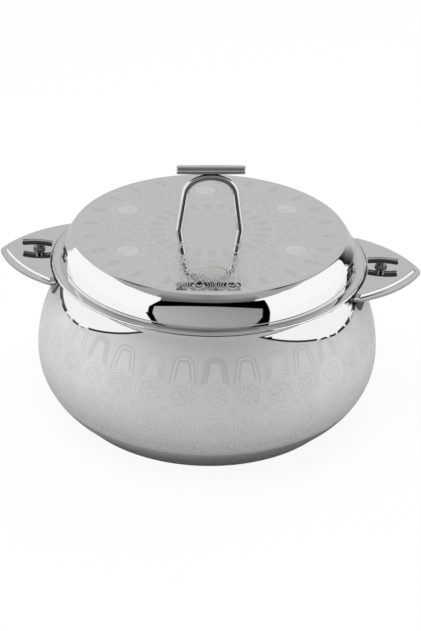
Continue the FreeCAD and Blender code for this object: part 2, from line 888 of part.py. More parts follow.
# Handle under plate: flat sheet of the same outline, with a tongue that reaches to the neck
def make_under_plate(label, side_turn):
    body = new_body(label)
    outline = new_sketch(body, "outline", "XY_Plane")
    draw_wing(outline, "wing")
    pad(body, outline, plate_sheet)
    tongue = new_sketch(body, "tongue", "XY_Plane")
    half = size("tongue_half_width")
    start = neck_radius + weld_gap
    end = rim_radius + size("handle_base_gap") + size("corner_round")
    draw(tongue, [
        (leg(start, half), -half),
        (end, -half),
        (end, half),
        (leg(start, half), half, "right", start),
    ])
    pad(body, tongue, plate_sheet)
    holes = new_sketch(body, "holes", "XY_Plane")
    circle_at(holes, pivot_distance, 0, size("stem_radius") + running_gap)
    for row in (-1, 1):
        circle_at(holes, rivet_distance, size("rivet_spacing") * 0.5 * row,
                  size("rivet_radius") + weld_gap)
    pocket(body, holes, plate_sheet * 4, midplane=True)
    place(body, up=plate_underside, turn=side_turn)
    return body


# Bracket: bent steel, one leg under the tongue and one leg welded along the shoulder
def make_bracket(label, side_turn):
    thickness = size("bracket_thickness")
    top = plate_underside - weld_gap
    bottom = top - thickness
    inner_arc = shoulder_arc + weld_gap
    outer_arc = shoulder_arc + thickness
    inside = neck_radius + weld_gap
    leg_foot = neck_height - size("bracket_leg")
    body = new_body(label)
    sketch = new_sketch(body, "section")
    draw(sketch, [
        (inside, top),
        (inside, at_arc(shoulder_axis, inner_arc, inside), "right", inner_arc),
        (in_arc(shoulder_axis, inner_arc, leg_foot), leg_foot),
        (in_arc(shoulder_axis, outer_arc, leg_foot), leg_foot, "left", outer_arc),
        (in_arc(shoulder_axis, outer_arc, bottom), bottom),
        (rim_radius + size("bracket_reach"), bottom),
        (rim_radius + size("bracket_reach"), top),
    ])
    revolve(body, sketch, float(sheet.get("bracket_angle")))
    holes = new_sketch(body, "holes", "XY_Plane")
    for row in (-1, 1):
        circle_at(holes, rivet_distance, size("rivet_spacing") * 0.5 * row,
                  size("rivet_radius") + weld_gap)
    raise_sketch(holes, top + thickness)
    pocket(body, holes, thickness * 3)
    place(body, turn=side_turn)
    return body


# Two rivets that clamp the tongue to the bracket
def make_rivets(label, side_turn):
    body = new_body(label)
    top = plate_underside + plate_sheet
    bottom = plate_underside - weld_gap - size("bracket_thickness")
    head = size("rivet_head_height")
    layers = (("lower_heads", size("rivet_head"), bottom - head, head),
              ("shanks", size("rivet_radius"), bottom, top - bottom),
              ("upper_heads", size("rivet_head"), top, head))
    for name, radius, start, height in layers:
        sketch = new_sketch(body, name, "XY_Plane")
        for row in (-1, 1):
            circle_at(sketch, rivet_distance, size("rivet_spacing") * 0.5 * row, radius)
        raise_sketch(sketch, start)
        pad(body, sketch, height)
    place(body, turn=side_turn)
    return body


def at_pivot(body, up, side):
    place(body, across=pivot_distance * side, up=up)


# Bush that keeps the two handle sheets apart round the pivot
def make_bush(label, side):
    body = ring(label, size("stem_radius") + running_gap, size("bush_radius"), ZERO,
                size("plateau_rise"))
    at_pivot(body, plate_underside + plate_sheet, side)
    return body


bar_axis = plateau_top + size("latch_bar_lift") + size("latch_bar_radius")
bar_inner_end = lid_radius + size("latch_clearance")
bar_outer_end = pivot_distance + size("latch_outer_arm")
bar_middle = (bar_inner_end + bar_outer_end) * 0.5
bar_half = (bar_outer_end - bar_inner_end) * 0.5
spring_bottom = plate_underside - seat_gap - size("spring_thickness")


# Latch bar: a slightly bowed round rod with chamfered ends
def make_latch_bar(label, side):
    body = new_body(label)
    radius = size("latch_bar_radius")
    bow = size("latch_bar_bow")
    sketch = new_sketch(body, "section", "YZ_Plane")
    circle_at(sketch, 0, ZERO, radius)
    axis = sketch.addGeometry(Part.LineSegment(
        FreeCAD.Vector(-radius.value, -bow.value, 0), FreeCAD.Vector(radius.value, -bow.value, 0)), True)
    constrain(sketch, "Horizontal", axis)
    constrain(sketch, "DistanceX", axis, 1, axis, 2, length=radius * 2)
    constrain(sketch, "DistanceX", axis, 1, -1, 1, length=radius)
    constrain(sketch, "DistanceY", axis, 1, -1, 1, length=bow)
    rod = body.newObject("PartDesign::Revolution", f"{label}_rod")
    rod.Profile = sketch
    rod.ReferenceAxis = (sketch, ["Axis0"])
    rod.Midplane = True
    rod.setExpression("Angle", f"2 * asin({bar_half.text} / ({bow.text} + {radius.text}))")
    doc.recompute()
    ends = [f"Edge{index}" for index, edge in enumerate(rod.Shape.Edges, start=1)
            if isinstance(edge.Curve, Part.Circle) and edge.isClosed()
            and abs(edge.Curve.Radius - radius.value) < 0.001]
    bevel = body.newObject("PartDesign::Chamfer", f"{label}_ends")
    bevel.Base = (rod, ends)
    bind(bevel, "Size", size("latch_bar_chamfer"))
    place(body, across=bar_middle * side, up=bar_axis)
    return body


# Latch boss: collar on the plate, waist, saddle for the bar and a stem through the plate
def make_latch_boss(label, side):
    stem = size("stem_radius")
    collar = size("collar_radius")
    collar_height = size("collar_height")
    waist = size("waist_radius")
    bottom = spring_bottom - plateau_top - seat_gap
    saddle = size("latch_bar_lift") + size("latch_bar_radius") * 0.8
    blank = turned(f"{label}_blank", [
        (size("pivot_screw_radius"), bottom),
        (stem, bottom),
        (stem, seat_gap),
        (collar, seat_gap),
        (collar, seat_gap + collar_height),
        (waist, seat_gap + collar_height * 1.6),
        (waist, saddle),
        (ZERO, saddle),
        (ZERO, bottom + size("pivot_screw_grip")),
        (size("pivot_screw_radius"), bottom + size("pivot_screw_grip")),
    ])
    groove = doc.addObject("Part::Torus", f"{label}_groove")
    bind(groove, "Radius1", size("latch_bar_bow"))
    bind(groove, "Radius2", size("latch_bar_radius") + weld_gap)
    groove.Placement = FreeCAD.Placement(
        FreeCAD.Vector(((bar_middle - pivot_distance) * side).value, 0,
                       (bar_axis - plateau_top - size("latch_bar_bow")).value),
        FreeCAD.Rotation(FreeCAD.Vector(1, 0, 0), 90))
    boss = doc.addObject("Part::Cut", label)
    boss.Base = blank
    boss.Tool = groove
    at_pivot(boss, plateau_top, side)
    return boss


def make_latch_fasteners(side_name, side):
    spring = ring(f"{side_name}_latch_spring_washer", size("stem_radius") + running_gap,
                  size("spring_radius"), ZERO, size("spring_thickness"))
    at_pivot(spring, spring_bottom, side)
    washer_bottom = spring_bottom - seat_gap - size("washer_thickness")
    washer = ring(f"{side_name}_latch_washer", size("pivot_screw_radius"),
                  size("pivot_washer_radius"), ZERO, size("washer_thickness"))
    at_pivot(washer, washer_bottom, side)
    shank = size("pivot_screw_radius") - running_gap
    head = size("screw_head")
    socket = shank * 0.75
    screw = turned(f"{side_name}_latch_screw", [
        (ZERO, head * 0.5 - head),
        (socket, head * 0.5 - head),
        (socket, -head),
        (size("screw_head_radius"), -head),
        (size("screw_head_radius"), ZERO),
        (shank, ZERO),
        (shank, size("washer_thickness") + size("pivot_screw_grip") - running_gap),
        (ZERO, size("washer_thickness") + size("pivot_screw_grip") - running_gap),
    ])
    at_pivot(screw, washer_bottom, side)


for side_name, side, side_turn in (("left", -1, 180.0), ("right", 1, 0.0)):
    make_top_plate(f"{side_name}_handle_plate", side_turn)
    make_under_plate(f"{side_name}_handle_underplate", side_turn)
    make_bracket(f"{side_name}_handle_bracket", side_turn)
    make_rivets(f"{side_name}_handle_rivets", side_turn)
    make_bush(f"{side_name}_pivot_bush", side)
    make_latch_bar(f"{side_name}_latch_bar", side)
    make_latch_boss(f"{side_name}_latch_boss", side)
    make_latch_fasteners(side_name, side)

nodes = ["outer_shell", "inner_bowl", "base_cap", "filling_plug", "body_insulation",
         "lid_shell", "lid_liner", "lid_seal", "lid_insulation", "lid_hoop", "lid_grip_bar",
         "hoop_backing_plate", "hoop_washers", "hoop_screws"]
for side_name in ("left", "right"):
    nodes += [f"{side_name}_{piece}" for piece in (
        "handle_plate", "handle_underplate", "handle_bracket", "handle_rivets", "pivot_bush",
        "latch_bar", "latch_boss", "latch_spring_washer", "latch_washer", "latch_screw")]

doc.recompute()
faulty = [item.Name for item in doc.Objects
          if "Invalid" in item.State or "Error" in item.State]
if faulty:
    raise RuntimeError(f"failed features: {faulty}")

pieces = {item.Label: item for item in doc.Objects if item.Label in nodes}
for node in nodes:
    shape = pieces[node].Shape
    if shape.isNull() or not shape.isValid() or not shape.Solids:
        raise RuntimeError(f"{node} has no valid solid")

os.makedirs("parts", exist_ok=True)
for node in nodes:
    shape = pieces[node].Shape
    shape.exportStep(f"parts/{node}.step")
    print(f"{node}: {len(shape.Solids)} solid(s), {shape.Volume / 1000:.2f} cm3")
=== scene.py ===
import math

import bmesh
import bpy
from mathutils import Matrix, Vector, geometry


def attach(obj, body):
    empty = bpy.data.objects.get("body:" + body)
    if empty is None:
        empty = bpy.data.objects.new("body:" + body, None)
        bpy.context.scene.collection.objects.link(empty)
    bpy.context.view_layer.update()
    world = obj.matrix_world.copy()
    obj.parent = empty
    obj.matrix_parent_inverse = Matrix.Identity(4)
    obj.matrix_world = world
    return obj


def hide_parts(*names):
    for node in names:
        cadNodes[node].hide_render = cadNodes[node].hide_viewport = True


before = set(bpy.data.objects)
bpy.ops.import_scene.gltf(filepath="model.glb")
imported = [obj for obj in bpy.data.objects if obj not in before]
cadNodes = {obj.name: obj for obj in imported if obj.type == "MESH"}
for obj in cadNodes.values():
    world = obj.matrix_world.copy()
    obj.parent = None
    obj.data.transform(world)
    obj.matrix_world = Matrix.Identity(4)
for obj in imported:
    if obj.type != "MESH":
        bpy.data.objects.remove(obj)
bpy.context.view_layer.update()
mm = 0.001
circle = 2 * math.pi
degrees = 180 / math.pi
print("frame loaded with", len(cadNodes), "CAD nodes")

# Sizes in millimetres that several pieces share
pot = {
    "bellyRadius": 150.0, "bellyHeight": 53.0, "shoulderArc": 108.0, "lowerArc": 58.0,
    "wall": 0.8, "neckRadius": 119.5, "rimRadius": 131.5, "rimHeight": 134.717,
    "bowlRadius": 114.0, "linerRadius": 111.0, "footHeight": 7.0, "baseRadius": 121.53,
}
lid = {"turn": 7.1, "top": pot["rimHeight"] + 27.1, "discRadius": 117.5, "creaseRadius": 128.3,
       "flangeUnder": pot["rimHeight"] + 0.1, "arc": 45.0, "beadRadius": 1.2,
       "beadAxis": 134.65, "discEdge": 1.4, "creaseEdge": 0.45}
wing = {"under": pot["rimHeight"] - 4.5, "sheet": 1.0, "rise": 2.4, "reach": 51.0,
        "halfWidth": 58.8, "sideArc": 103.0, "fieldSideArc": 127.0, "tipRound": 10.0,
        "cornerRound": 5.0, "baseGap": 2.5, "pivot": 148.5, "hole": 3.55}


# Node trees: one class for the maths, one method for every other node
def maker(operation, reflected=False):
    # a method that adds one maths node
    def method(self, *others):
        values = (*others, self) if reflected else (self, *others)
        return self.maths(operation, *values)
    return method


class Signal:
    __add__ = __radd__ = maker("ADD")
    __mul__ = __rmul__ = maker("MULTIPLY")
    __sub__, __rsub__ = maker("SUBTRACT"), maker("SUBTRACT", True)
    __truediv__, __rtruediv__ = maker("DIVIDE"), maker("DIVIDE", True)
    __mod__, __pow__, __abs__ = maker("FLOORED_MODULO"), maker("POWER"), maker("ABSOLUTE")
    sin, cos, nearest, least = maker("SINE"), maker("COSINE"), maker("ROUND"), maker("MINIMUM")
    angle, arcsine = maker("ARCTAN2"), maker("ARCSINE")

    def __init__(self, bench, socket):
        self.bench = bench
        self.socket = socket

    def __neg__(self):
        return self * -1.0

    def maths(self, operation, *values, clamp=False):
        return self.bench.node("ShaderNodeMath", dict(enumerate(values)),
                               operation=operation, use_clamp=clamp)

    def hypot(self, other):
        return (self * self + other * other) ** 0.5

    def most(self, *others):
        made = self
        for other in others:
            made = self.maths("MAXIMUM", made, other)
        return made

    def over(self, level, soft):
        # 0 below the level, 1 above it, over a soft edge
        return self.maths("ADD", (self - level) / soft, 0.5, clamp=True)

    def under(self, level, soft):
        return self.maths("ADD", (level - self) / soft, 0.5, clamp=True)

    def inside(self, low, high, soft):
        return self.over(low, soft) * self.under(high, soft)

    def line(self, level, halfWidth, soft):
        # 1 on a line where the signal is at the level
        return abs(self - level).under(halfWidth, soft)

    def lines(self, start, strokes):
        # the strongest of several lines: distance from the start, half width and soft edge
        drawn = [self.line(start + away, halfWidth, soft) for away, halfWidth, soft in strokes]
        return drawn[0].most(*drawn[1:])

    def outputs(self):
        # every output of the same node
        return [Signal(self.bench, socket) for socket in self.socket.node.outputs]

    def split(self):
        return self.bench.node("ShaderNodeSeparateXYZ", {0: self}).outputs()

    def noise(self, scale, detail=2.0):
        return self.bench.node("ShaderNodeTexNoise", {
            "Vector": self, "Scale": scale, "Detail": detail})

    def bump(self, distance, strength, normal=None):
        under = {} if normal is None else {"Normal": normal}
        return self.bench.node("ShaderNodeBump", {
            "Height": self, "Distance": distance, "Strength": strength, **under})

    def blend(self, first, second):
        return self.bench.node("ShaderNodeMix", {0: self, 6: first, 7: second}, 2, data_type="RGBA")

    def asColour(self):
        return self.bench.node("ShaderNodeCombineColor", {0: self, 1: self, 2: self})


class Bench:
    def __init__(self, tree):
        self.tree = tree

    def node(self, kind, sockets=None, output=0, **settings):
        made = self.tree.nodes.new(kind)
        for name, value in settings.items():
            setattr(made, name, value)
        for key, value in (sockets or {}).items():
            if isinstance(value, Signal):
                self.tree.links.new(value.socket, made.inputs[key])
            else:
                made.inputs[key].default_value = value
        return Signal(self, made.outputs[output]) if made.outputs else None


# Geometry node trees
def shapeTree(name, build, **inputs):
    tree = bpy.data.node_groups.new(name, "GeometryNodeTree")
    for way in ("INPUT", "OUTPUT"):
        tree.interface.new_socket(name="Geometry", in_out=way, socket_type="NodeSocketGeometry")
    for label, kind in {**inputs, "Material": "Material"}.items():
        tree.interface.new_socket(name=label, in_out="INPUT", socket_type=f"NodeSocket{kind}")
    bench = Bench(tree)
    given = {entry.socket.name: entry for entry in bench.node("NodeGroupInput").outputs()}
    smooth = bench.node("GeometryNodeSetShadeSmooth", {"Geometry": build(bench, given)})
    whole = bench.node("GeometryNodeRealizeInstances", {"Geometry": smooth})
    coated = bench.node("GeometryNodeSetMaterial", {
        "Geometry": whole, "Material": given["Material"]})
    bench.node("NodeGroupOutput", {"Geometry": coated})
    return tree


def turnedShape(bench, given):
    # turns a chain of profile points (x outwards, z up) about the upright axis
    chain, segments = given["Geometry"], given["Segments"]
    count = bench.node("GeometryNodeAttributeDomainSize", {0: chain}, component="MESH")
    grid = bench.node("GeometryNodeMeshGrid", {
        "Size X": count - 1.0, "Size Y": segments + 0.0,
        "Vertices X": count, "Vertices Y": segments + 1.0})
    place = bench.node("GeometryNodeInputPosition")
    forth, along, _ = place.split()
    station = (forth + (count - 1.0) / 2.0).nearest()
    turn = (along / segments + 0.5) * circle
    point = bench.node("GeometryNodeSampleIndex", {0: chain, 1: place, 2: station},
                       data_type="FLOAT_VECTOR", domain="POINT")
    out, _, up = point.split()
    moved = bench.node("ShaderNodeCombineXYZ", {0: out * turn.cos(), 1: out * turn.sin(), 2: up})
    shaped = bench.node("GeometryNodeSetPosition", {"Geometry": grid, "Position": moved})
    closed = bench.node("GeometryNodeMergeByDistance", {"Geometry": shaped, "Distance": 2e-6})
    return bench.node("GeometryNodeTransform", {
        "Geometry": closed, "Rotation": given["Tilt"], "Translation": given["Place"]})


def sweptShape(bench, given):
    # a round rod along a chain of points, as thick as the chain's own share of the radius says
    path = bench.node("GeometryNodeMeshToCurve", {0: given["Geometry"]})
    share = bench.node("GeometryNodeInputNamedAttribute", {"Name": "share"}, data_type="FLOAT")
    ring = bench.node("GeometryNodeCurvePrimitiveCircle", {
        "Resolution": given["Sides"], "Radius": given["Thickness"]})
    return bench.node("GeometryNodeCurveToMesh", {
        "Curve": path, "Profile Curve": ring, "Scale": share, "Fill Caps": True})


def fastenerShape(bench, given):
    # the same small turned shape, with a domed head, at each point of the incoming mesh
    shank = bench.node("GeometryNodeMeshCylinder", {
        "Vertices": given["Sides"], "Side Segments": 1, "Fill Segments": 6,
        "Radius": given["Radius"], "Depth": given["Height"]})
    across, along, up = bench.node("GeometryNodeInputPosition").split()
    out = across.hypot(along) / given["Radius"]
    bulge = (1.0 - (out * out).least(1.0)) ** 0.5 * given["Dome"]
    lift = bench.node("ShaderNodeCombineXYZ", {2: bulge * up.over(0.0, 1e-6)})
    head = bench.node("GeometryNodeSetPosition", {"Geometry": shank, "Offset": lift})
    return bench.node("GeometryNodeInstanceOnPoints", {
        "Points": given["Geometry"], "Instance": head})


trees = {
    "turned": shapeTree("turnedPiece", turnedShape, Segments="Int", Tilt="Vector", Place="Vector"),
    "swept": shapeTree("sweptRod", sweptShape, Sides="Int", Thickness="Float"),
    "fasteners": shapeTree("fastenerRow", fastenerShape, Sides="Int", Radius="Float",
                           Height="Float", Dome="Float"),
}
print("shape trees built")


def placed(name, data):
    made = bpy.data.objects.new(name, data)
    bpy.context.scene.collection.objects.link(made)
    return made


def chainObject(name, points, shares=None):
    mesh = bpy.data.meshes.new(name)
    mesh.from_pydata(points, [(i, i + 1) for i in range(len(points) - 1)], [])
    if shares is not None:
        mesh.attributes.new("share", "FLOAT", "POINT").data.foreach_set("value", shares)
    return placed(name, mesh)


def finishMesh(piece, sharpAngle):
    # doubles merged, faces turned outwards, smooth but for real edges
    work = bmesh.new()
    work.from_mesh(piece.data)
    bmesh.ops.remove_doubles(work, verts=work.verts, dist=2e-6)
    bmesh.ops.dissolve_degenerate(work, edges=work.edges, dist=1e-7)
    bmesh.ops.recalc_face_normals(work, faces=work.faces)
    intoMesh(work, piece.data)
    for face in piece.data.polygons:
        face.use_smooth = True
    piece.data.set_sharp_from_angle(angle=math.radians(sharpAngle))
    piece.data.update()


def intoMesh(work, mesh):
    work.to_mesh(mesh)
    work.free()


def grow(piece, treeName, values, sharpAngle=32.0):
    # runs a shape tree on the piece and keeps the plain mesh that comes out
    tree = trees[treeName]
    keys = {item.name: item.identifier for item in tree.interface.items_tree
            if item.item_type == "SOCKET" and item.in_out == "INPUT"}
    modifier = piece.modifiers.new("shape", "NODES")
    modifier.node_group = tree
    for label, value in values.items():
        modifier[keys[label]] = value
    bpy.context.view_layer.update()
    view = bpy.context.evaluated_depsgraph_get()
    mesh = bpy.data.meshes.new_from_object(piece.evaluated_get(view))
    piece.modifiers.remove(modifier)
    piece.data = mesh
    mesh.name = piece.name
    finishMesh(piece, sharpAngle)
    return piece


def handOver(piece, body, slotName, *replaced):
    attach(piece, body)
    if replaced:
        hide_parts(*replaced)


# Profiles: straight runs, arcs and softened corners
def roundRun(centre, radius, start, end, turn, count=0, step=2.0):
    # points of an arc without its end: a given count, or one for each step in degrees
    first, last = (math.atan2(p[1] - centre[1], p[0] - centre[0]) for p in (start, end))
    sweep = turn * ((last - first) * turn % circle)
    count = count or max(2, round(abs(math.degrees(sweep)) / step))
    return [(centre[0] + radius * math.cos(first + sweep * i / count),
             centre[1] + radius * math.sin(first + sweep * i / count)) for i in range(count)]


def arcRun(start, end, radius, side, step=2.0):
    # the points between two ends, on an arc that turns to the left or to the right
    dx, dy = end[0] - start[0], end[1] - start[1]
    chord = math.hypot(dx, dy)
    rise = math.sqrt(max(radius * radius - chord * chord / 4, 0.0))
    turn = 1 if side == "left" else -1
    centre = ((start[0] + end[0]) / 2 - turn * dy / chord * rise,
              (start[1] + end[1]) / 2 + turn * dx / chord * rise)
    return roundRun(centre, radius, start, end, turn, step=step)[1:]


def outline(corners, step=2.0):
    # corners are (x, z), then for an arc to the next corner its side, radius and perhaps its step
    points = []
    for number, corner in enumerate(corners):
        points.append((corner[0], corner[1]))
        if len(corner) > 2:
            following = corners[(number + 1) % len(corners)]
            arcStep = corner[4] if len(corner) > 4 else step
            points += arcRun(corner[:2], following[:2], corner[3], corner[2], arcStep)
    return points


def soften(points, width, sharper=20.0, closed=True, wide=None):
    # rounds every corner that turns by more than the angle, and some corners more widely
    made = []
    count = len(points)
    for i, here in enumerate(points):
        before, after = points[i - 1], points[(i + 1) % count]
        a = Vector((before[0] - here[0], before[1] - here[1]))
        b = Vector((after[0] - here[0], after[1] - here[1]))
        loose = not closed and i in (0, count - 1)
        if loose or here[0] < 1e-6 or a.length < 1e-6 or b.length < 1e-6 \
                or math.degrees(math.pi - a.angle(b)) < sharper:
            made.append(here)
            continue
        cut = (wide or {}).get(here, width)
        p, q = (Vector(here) + way.normalized() * min(cut, way.length * 0.42) for way in (a, b))
        for t in (0.0, 0.2, 0.4, 0.6, 0.8, 1.0):
            made.append(tuple(p * (1 - t) ** 2 + Vector(here) * 2 * t * (1 - t) + q * t * t))
    return made


def supported(points, margin=0.5):
    # extra points near the ends of long straight runs keep the flats flat in the mirror finish
    made = []
    for i, here in enumerate(points):
        made.append(here)
        after = points[(i + 1) % len(points)]
        run = math.dist(here, after)
        if run > margin * 6:
            for share in (margin / run, 0.5, 1 - margin / run):
                made.append((here[0] + (after[0] - here[0]) * share,
                             here[1] + (after[1] - here[1]) * share))
    return made


def turnedPiece(name, points, material, segments=256, tilt=(0, 0, 0), place=(0, 0, 0), closed=True):
    chain = [(x * mm, 0.0, z * mm) for x, z in points]
    if closed:
        chain.append(chain[0])
    return grow(chainObject(name, chain), "turned", {
        "Segments": segments, "Tilt": tilt, "Place": tuple(v * mm for v in place),
        "Material": material})


def shoulderHeight(radius, arc=pot["shoulderArc"]):
    axis = pot["bellyRadius"] - pot["shoulderArc"]
    return pot["bellyHeight"] + math.sqrt(arc ** 2 - (radius - axis) ** 2)


def lowerRadius(height, arc=pot["lowerArc"]):
    axis = pot["bellyRadius"] - pot["lowerArc"]
    return axis + math.sqrt(arc ** 2 - (height - pot["bellyHeight"]) ** 2)


# Materials
def newMaterial(name):
    material = bpy.data.materials.new(name)
    material.use_nodes = True
    material.node_tree.nodes.clear()
    spot = Bench(material.node_tree).node("ShaderNodeTexCoord", output="Object")
    return material, spot


def coat(material, colour, metallic, roughness, normal, extra=None):
    bench = normal.bench
    shader = bench.node("ShaderNodeBsdfPrincipled", {
        "Base Color": colour, "Metallic": metallic, "Roughness": roughness, "Normal": normal,
        **(extra or {})})
    bench.node("ShaderNodeOutputMaterial", {"Surface": shader})
    return material


def grey(level, warmth=0.0):
    return (level * (1 + warmth), level, level * (1 - warmth), 1.0)


def turnedSpot(spot, angle):
    return spot.bench.node("ShaderNodeMapping", {
        "Vector": spot, "Rotation": (0.0, 0.0, math.radians(angle))}, vector_type="TEXTURE")


polish = {"spread": 0.012, "warmth": 0.002, "sheetWave": (22.0, 0.0008), "rodWave": (60.0, 0.0004),
          "slopeShadeLine": (0.16, 0.12), "outerEdgeShade": 0.3, "reflectionSoft": 0.5}


def polishedSteel(name, level, roughness, slopeShadeLines=(), paintedReflections=(), turn=0.0):
    material, spot = newMaterial(name)
    cloud = spot.noise(35.0, 3.0)
    colour = cloud.blend(grey(level - polish["spread"], polish["warmth"]),
                         grey(level + polish["spread"], polish["warmth"]))
    if slopeShadeLines:
        # painted shade: dark lines at the foot and the top of the raised field's slope, and along
        # the outer edge
        inset = spot.bench.node("ShaderNodeAttribute", output="Fac", attribute_name="inset")
        first, second = (inset.line(place, *polish["slopeShadeLine"]) for place in slopeShadeLines)
        rim = inset.under(polish["outerEdgeShade"], polish["outerEdgeShade"]) * 0.8
        colour = (first.most(second, rim) * 0.75).blend(colour, grey(0.06))
    if paintedReflections:
        parts = [part * 1000.0 for part in turnedSpot(spot, turn).split()]
    # painted reflections: dark streaks along a rod; which coordinate, where, how wide and how
    # strong
    for part, place, halfWidth, share in paintedReflections:
        paintedReflection = parts[part].line(place, halfWidth, polish["reflectionSoft"]) * share
        colour = paintedReflection.blend(colour, grey(0.03))
    gloss = cloud * 0.02 + spot.noise(900.0) * 0.01 + (roughness - 0.01)
    waveScale, waveDepth = polish["sheetWave" if slopeShadeLines else "rodWave"]
    return coat(material, colour, 1.0, gloss, spot.noise(waveScale, 1.0).bump(waveDepth, 0.5))


def brushedSteel(name, level, roughness):
    # the brush marks run round the axis, so the grain varies with radius and height only
    material, spot = newMaterial(name)
    across, along, up = spot.split()
    marks = spot.bench.node("ShaderNodeCombineXYZ", {0: across.hypot(along) * 900.0, 1: up * 900.0})
    grain = marks.noise(1.0, 4.0)
    gloss = grain * 0.10 + spot.noise(18.0) * 0.08 + (roughness - 0.09)
    return coat(material, grain.blend(grey(level - 0.06), grey(level + 0.05)), 1.0, gloss,
                grain.bump(0.0001, 0.25))


# The plain materials: cloud and grain have a scale and a detail, cells have a scale, roughness
# is a base with the shares of cloud and grain, and the bump a distance and a strength
roughSteel = {"metallic": 1.0, "cloud": (120.0, 4.0), "grain": (1600.0, 3.0),
              "bump": (0.00015, 0.3)}
plainLooks = {
    "plain": {**roughSteel, "name": "plainSteel", "roughness": (0.26, 0.10, 0.12),
              "colours": (grey(0.48, 0.01), grey(0.62, 0.01))},
    # painted shade: the brackets under the wings are a much darker copy of the plain steel
    "bracket": {**roughSteel, "name": "darkBracketSteel", "roughness": (0.20, 0.10, 0.12),
                "colours": (grey(0.12, 0.01), grey(0.26, 0.01))},
    "rubber": {"name": "siliconeRubber", "metallic": 0.0, "cloud": (60.0, 3.0),
               "grain": (1500.0, 2.0), "colours": ((0.70, 0.70, 0.68, 1), (0.80, 0.80, 0.78, 1)),
               "roughness": (0.42, 0.10, 0.0), "bump": (0.0001, 0.4),
               "extra": {"Subsurface Weight": 0.15, "Subsurface Scale": 0.002}},
    "plastic": {"name": "plugPlastic", "metallic": 0.0, "cloud": (50.0, 3.0), "cells": 1800.0,
                "colours": ((0.045, 0.045, 0.048, 1), (0.075, 0.075, 0.08, 1)),
                "roughness": (0.42, 0.12, 0.0), "bump": (0.0002, 0.4)},
    "foam": {"name": "foamCore", "metallic": 0.0, "cloud": (25.0, 4.0), "cells": 1200.0,
             "colours": ((0.62, 0.52, 0.30, 1), (0.78, 0.68, 0.44, 1)),
             "roughness": (0.85, 0.0, 0.10), "bump": (0.0006, 0.6)},
}


def plainMaterial(look):
    material, spot = newMaterial(look["name"])
    cloud = spot.noise(*look["cloud"])
    grain = spot.noise(*look["grain"]) if "grain" in look else \
        spot.bench.node("ShaderNodeTexVoronoi", {"Vector": spot, "Scale": look["cells"]})
    base, cloudShare, grainShare = look["roughness"]
    return coat(material, cloud.blend(*look["colours"]), look["metallic"],
                cloud * cloudShare + grain * grainShare + base, grain.bump(*look["bump"]),
                look.get("extra"))


# Traditional etched ornament. Distances are in millimetres, masks run from 0 to 1, and a line is
# given as its place, half width and soft edge.
belly = {"columns": 34, "turnOfColumn": -83.2, "rows": (31.2, 4.9), "squeeze": 0.92,
         "fade": (42.0, 32.0), "etched": (-28.0, 90.0, 6.0), "shoulder": (70.0, 20.0),
         "foot": (-6.0, 30.0), "tone": 0.77, "roughness": 0.58, "metallic": 0.66,
         "gilt": (0.895, 0.885, 0.86, 1.0)}
arches = {"top": 63.4, "legs": (40.0, 2.0), "half": 7.6, "spread": 0.17, "round": 6.4, "band": 5.0,
          "outlines": ((-0.8, 0.75, 0.6), (-4.1, 0.85, 0.6)), "goldFoot": (51.0, 5.0),
          "speck": 3.8}
medal = {"size": 12.3, "scroll": 2.7, "sprig": 6.0, "gapHeart": (2.9, 1.4),
         "light": ((0.0, 0.36, 0.5), (-1.9, 0.32, 0.5)),
         "dark": ((-0.95, 0.32, 0.5),),
         "faint": ((0.8, 0.25, 0.5),)}
lace = {"low": -25.0, "top": -6.5, "curl": 4.6, "stripe": 3.6, "stripes": (-18.5, -9.0, 2.5),
        "dropHeight": -20.5, "dropRing": (4.4, 0.6, 0.8), "dropHeart": (2.8, 1.6),
        "gableDark": (-1.6, 0.8, 1.2), "gableLight": (0.4, 0.7, 1.2)}
crescent = {"tip": 20.0, "low": 60.3, "middle": 50.0, "rightShift": 5.0, "rightDrop": 1.8,
            "rise": 0.30, "bend": 0.0092, "outerBend": 0.018, "end": 82.0, "line": 0.85,
            "crown": 76.4, "crownLean": (22.0, 0.12), "neckShadeLine": (80.1, 0.5, 0.4), "dip": 0.00013}


def lacework(across, up, size, seed):
    # filigree: curling lines of a soft noise, light on one side and dark on the other
    spot = across.bench.node("ShaderNodeCombineXYZ", {0: across / size, 1: up / size, 2: seed})
    return (spot.noise(1.0, 1.5) * (4.0 * circle)).sin()


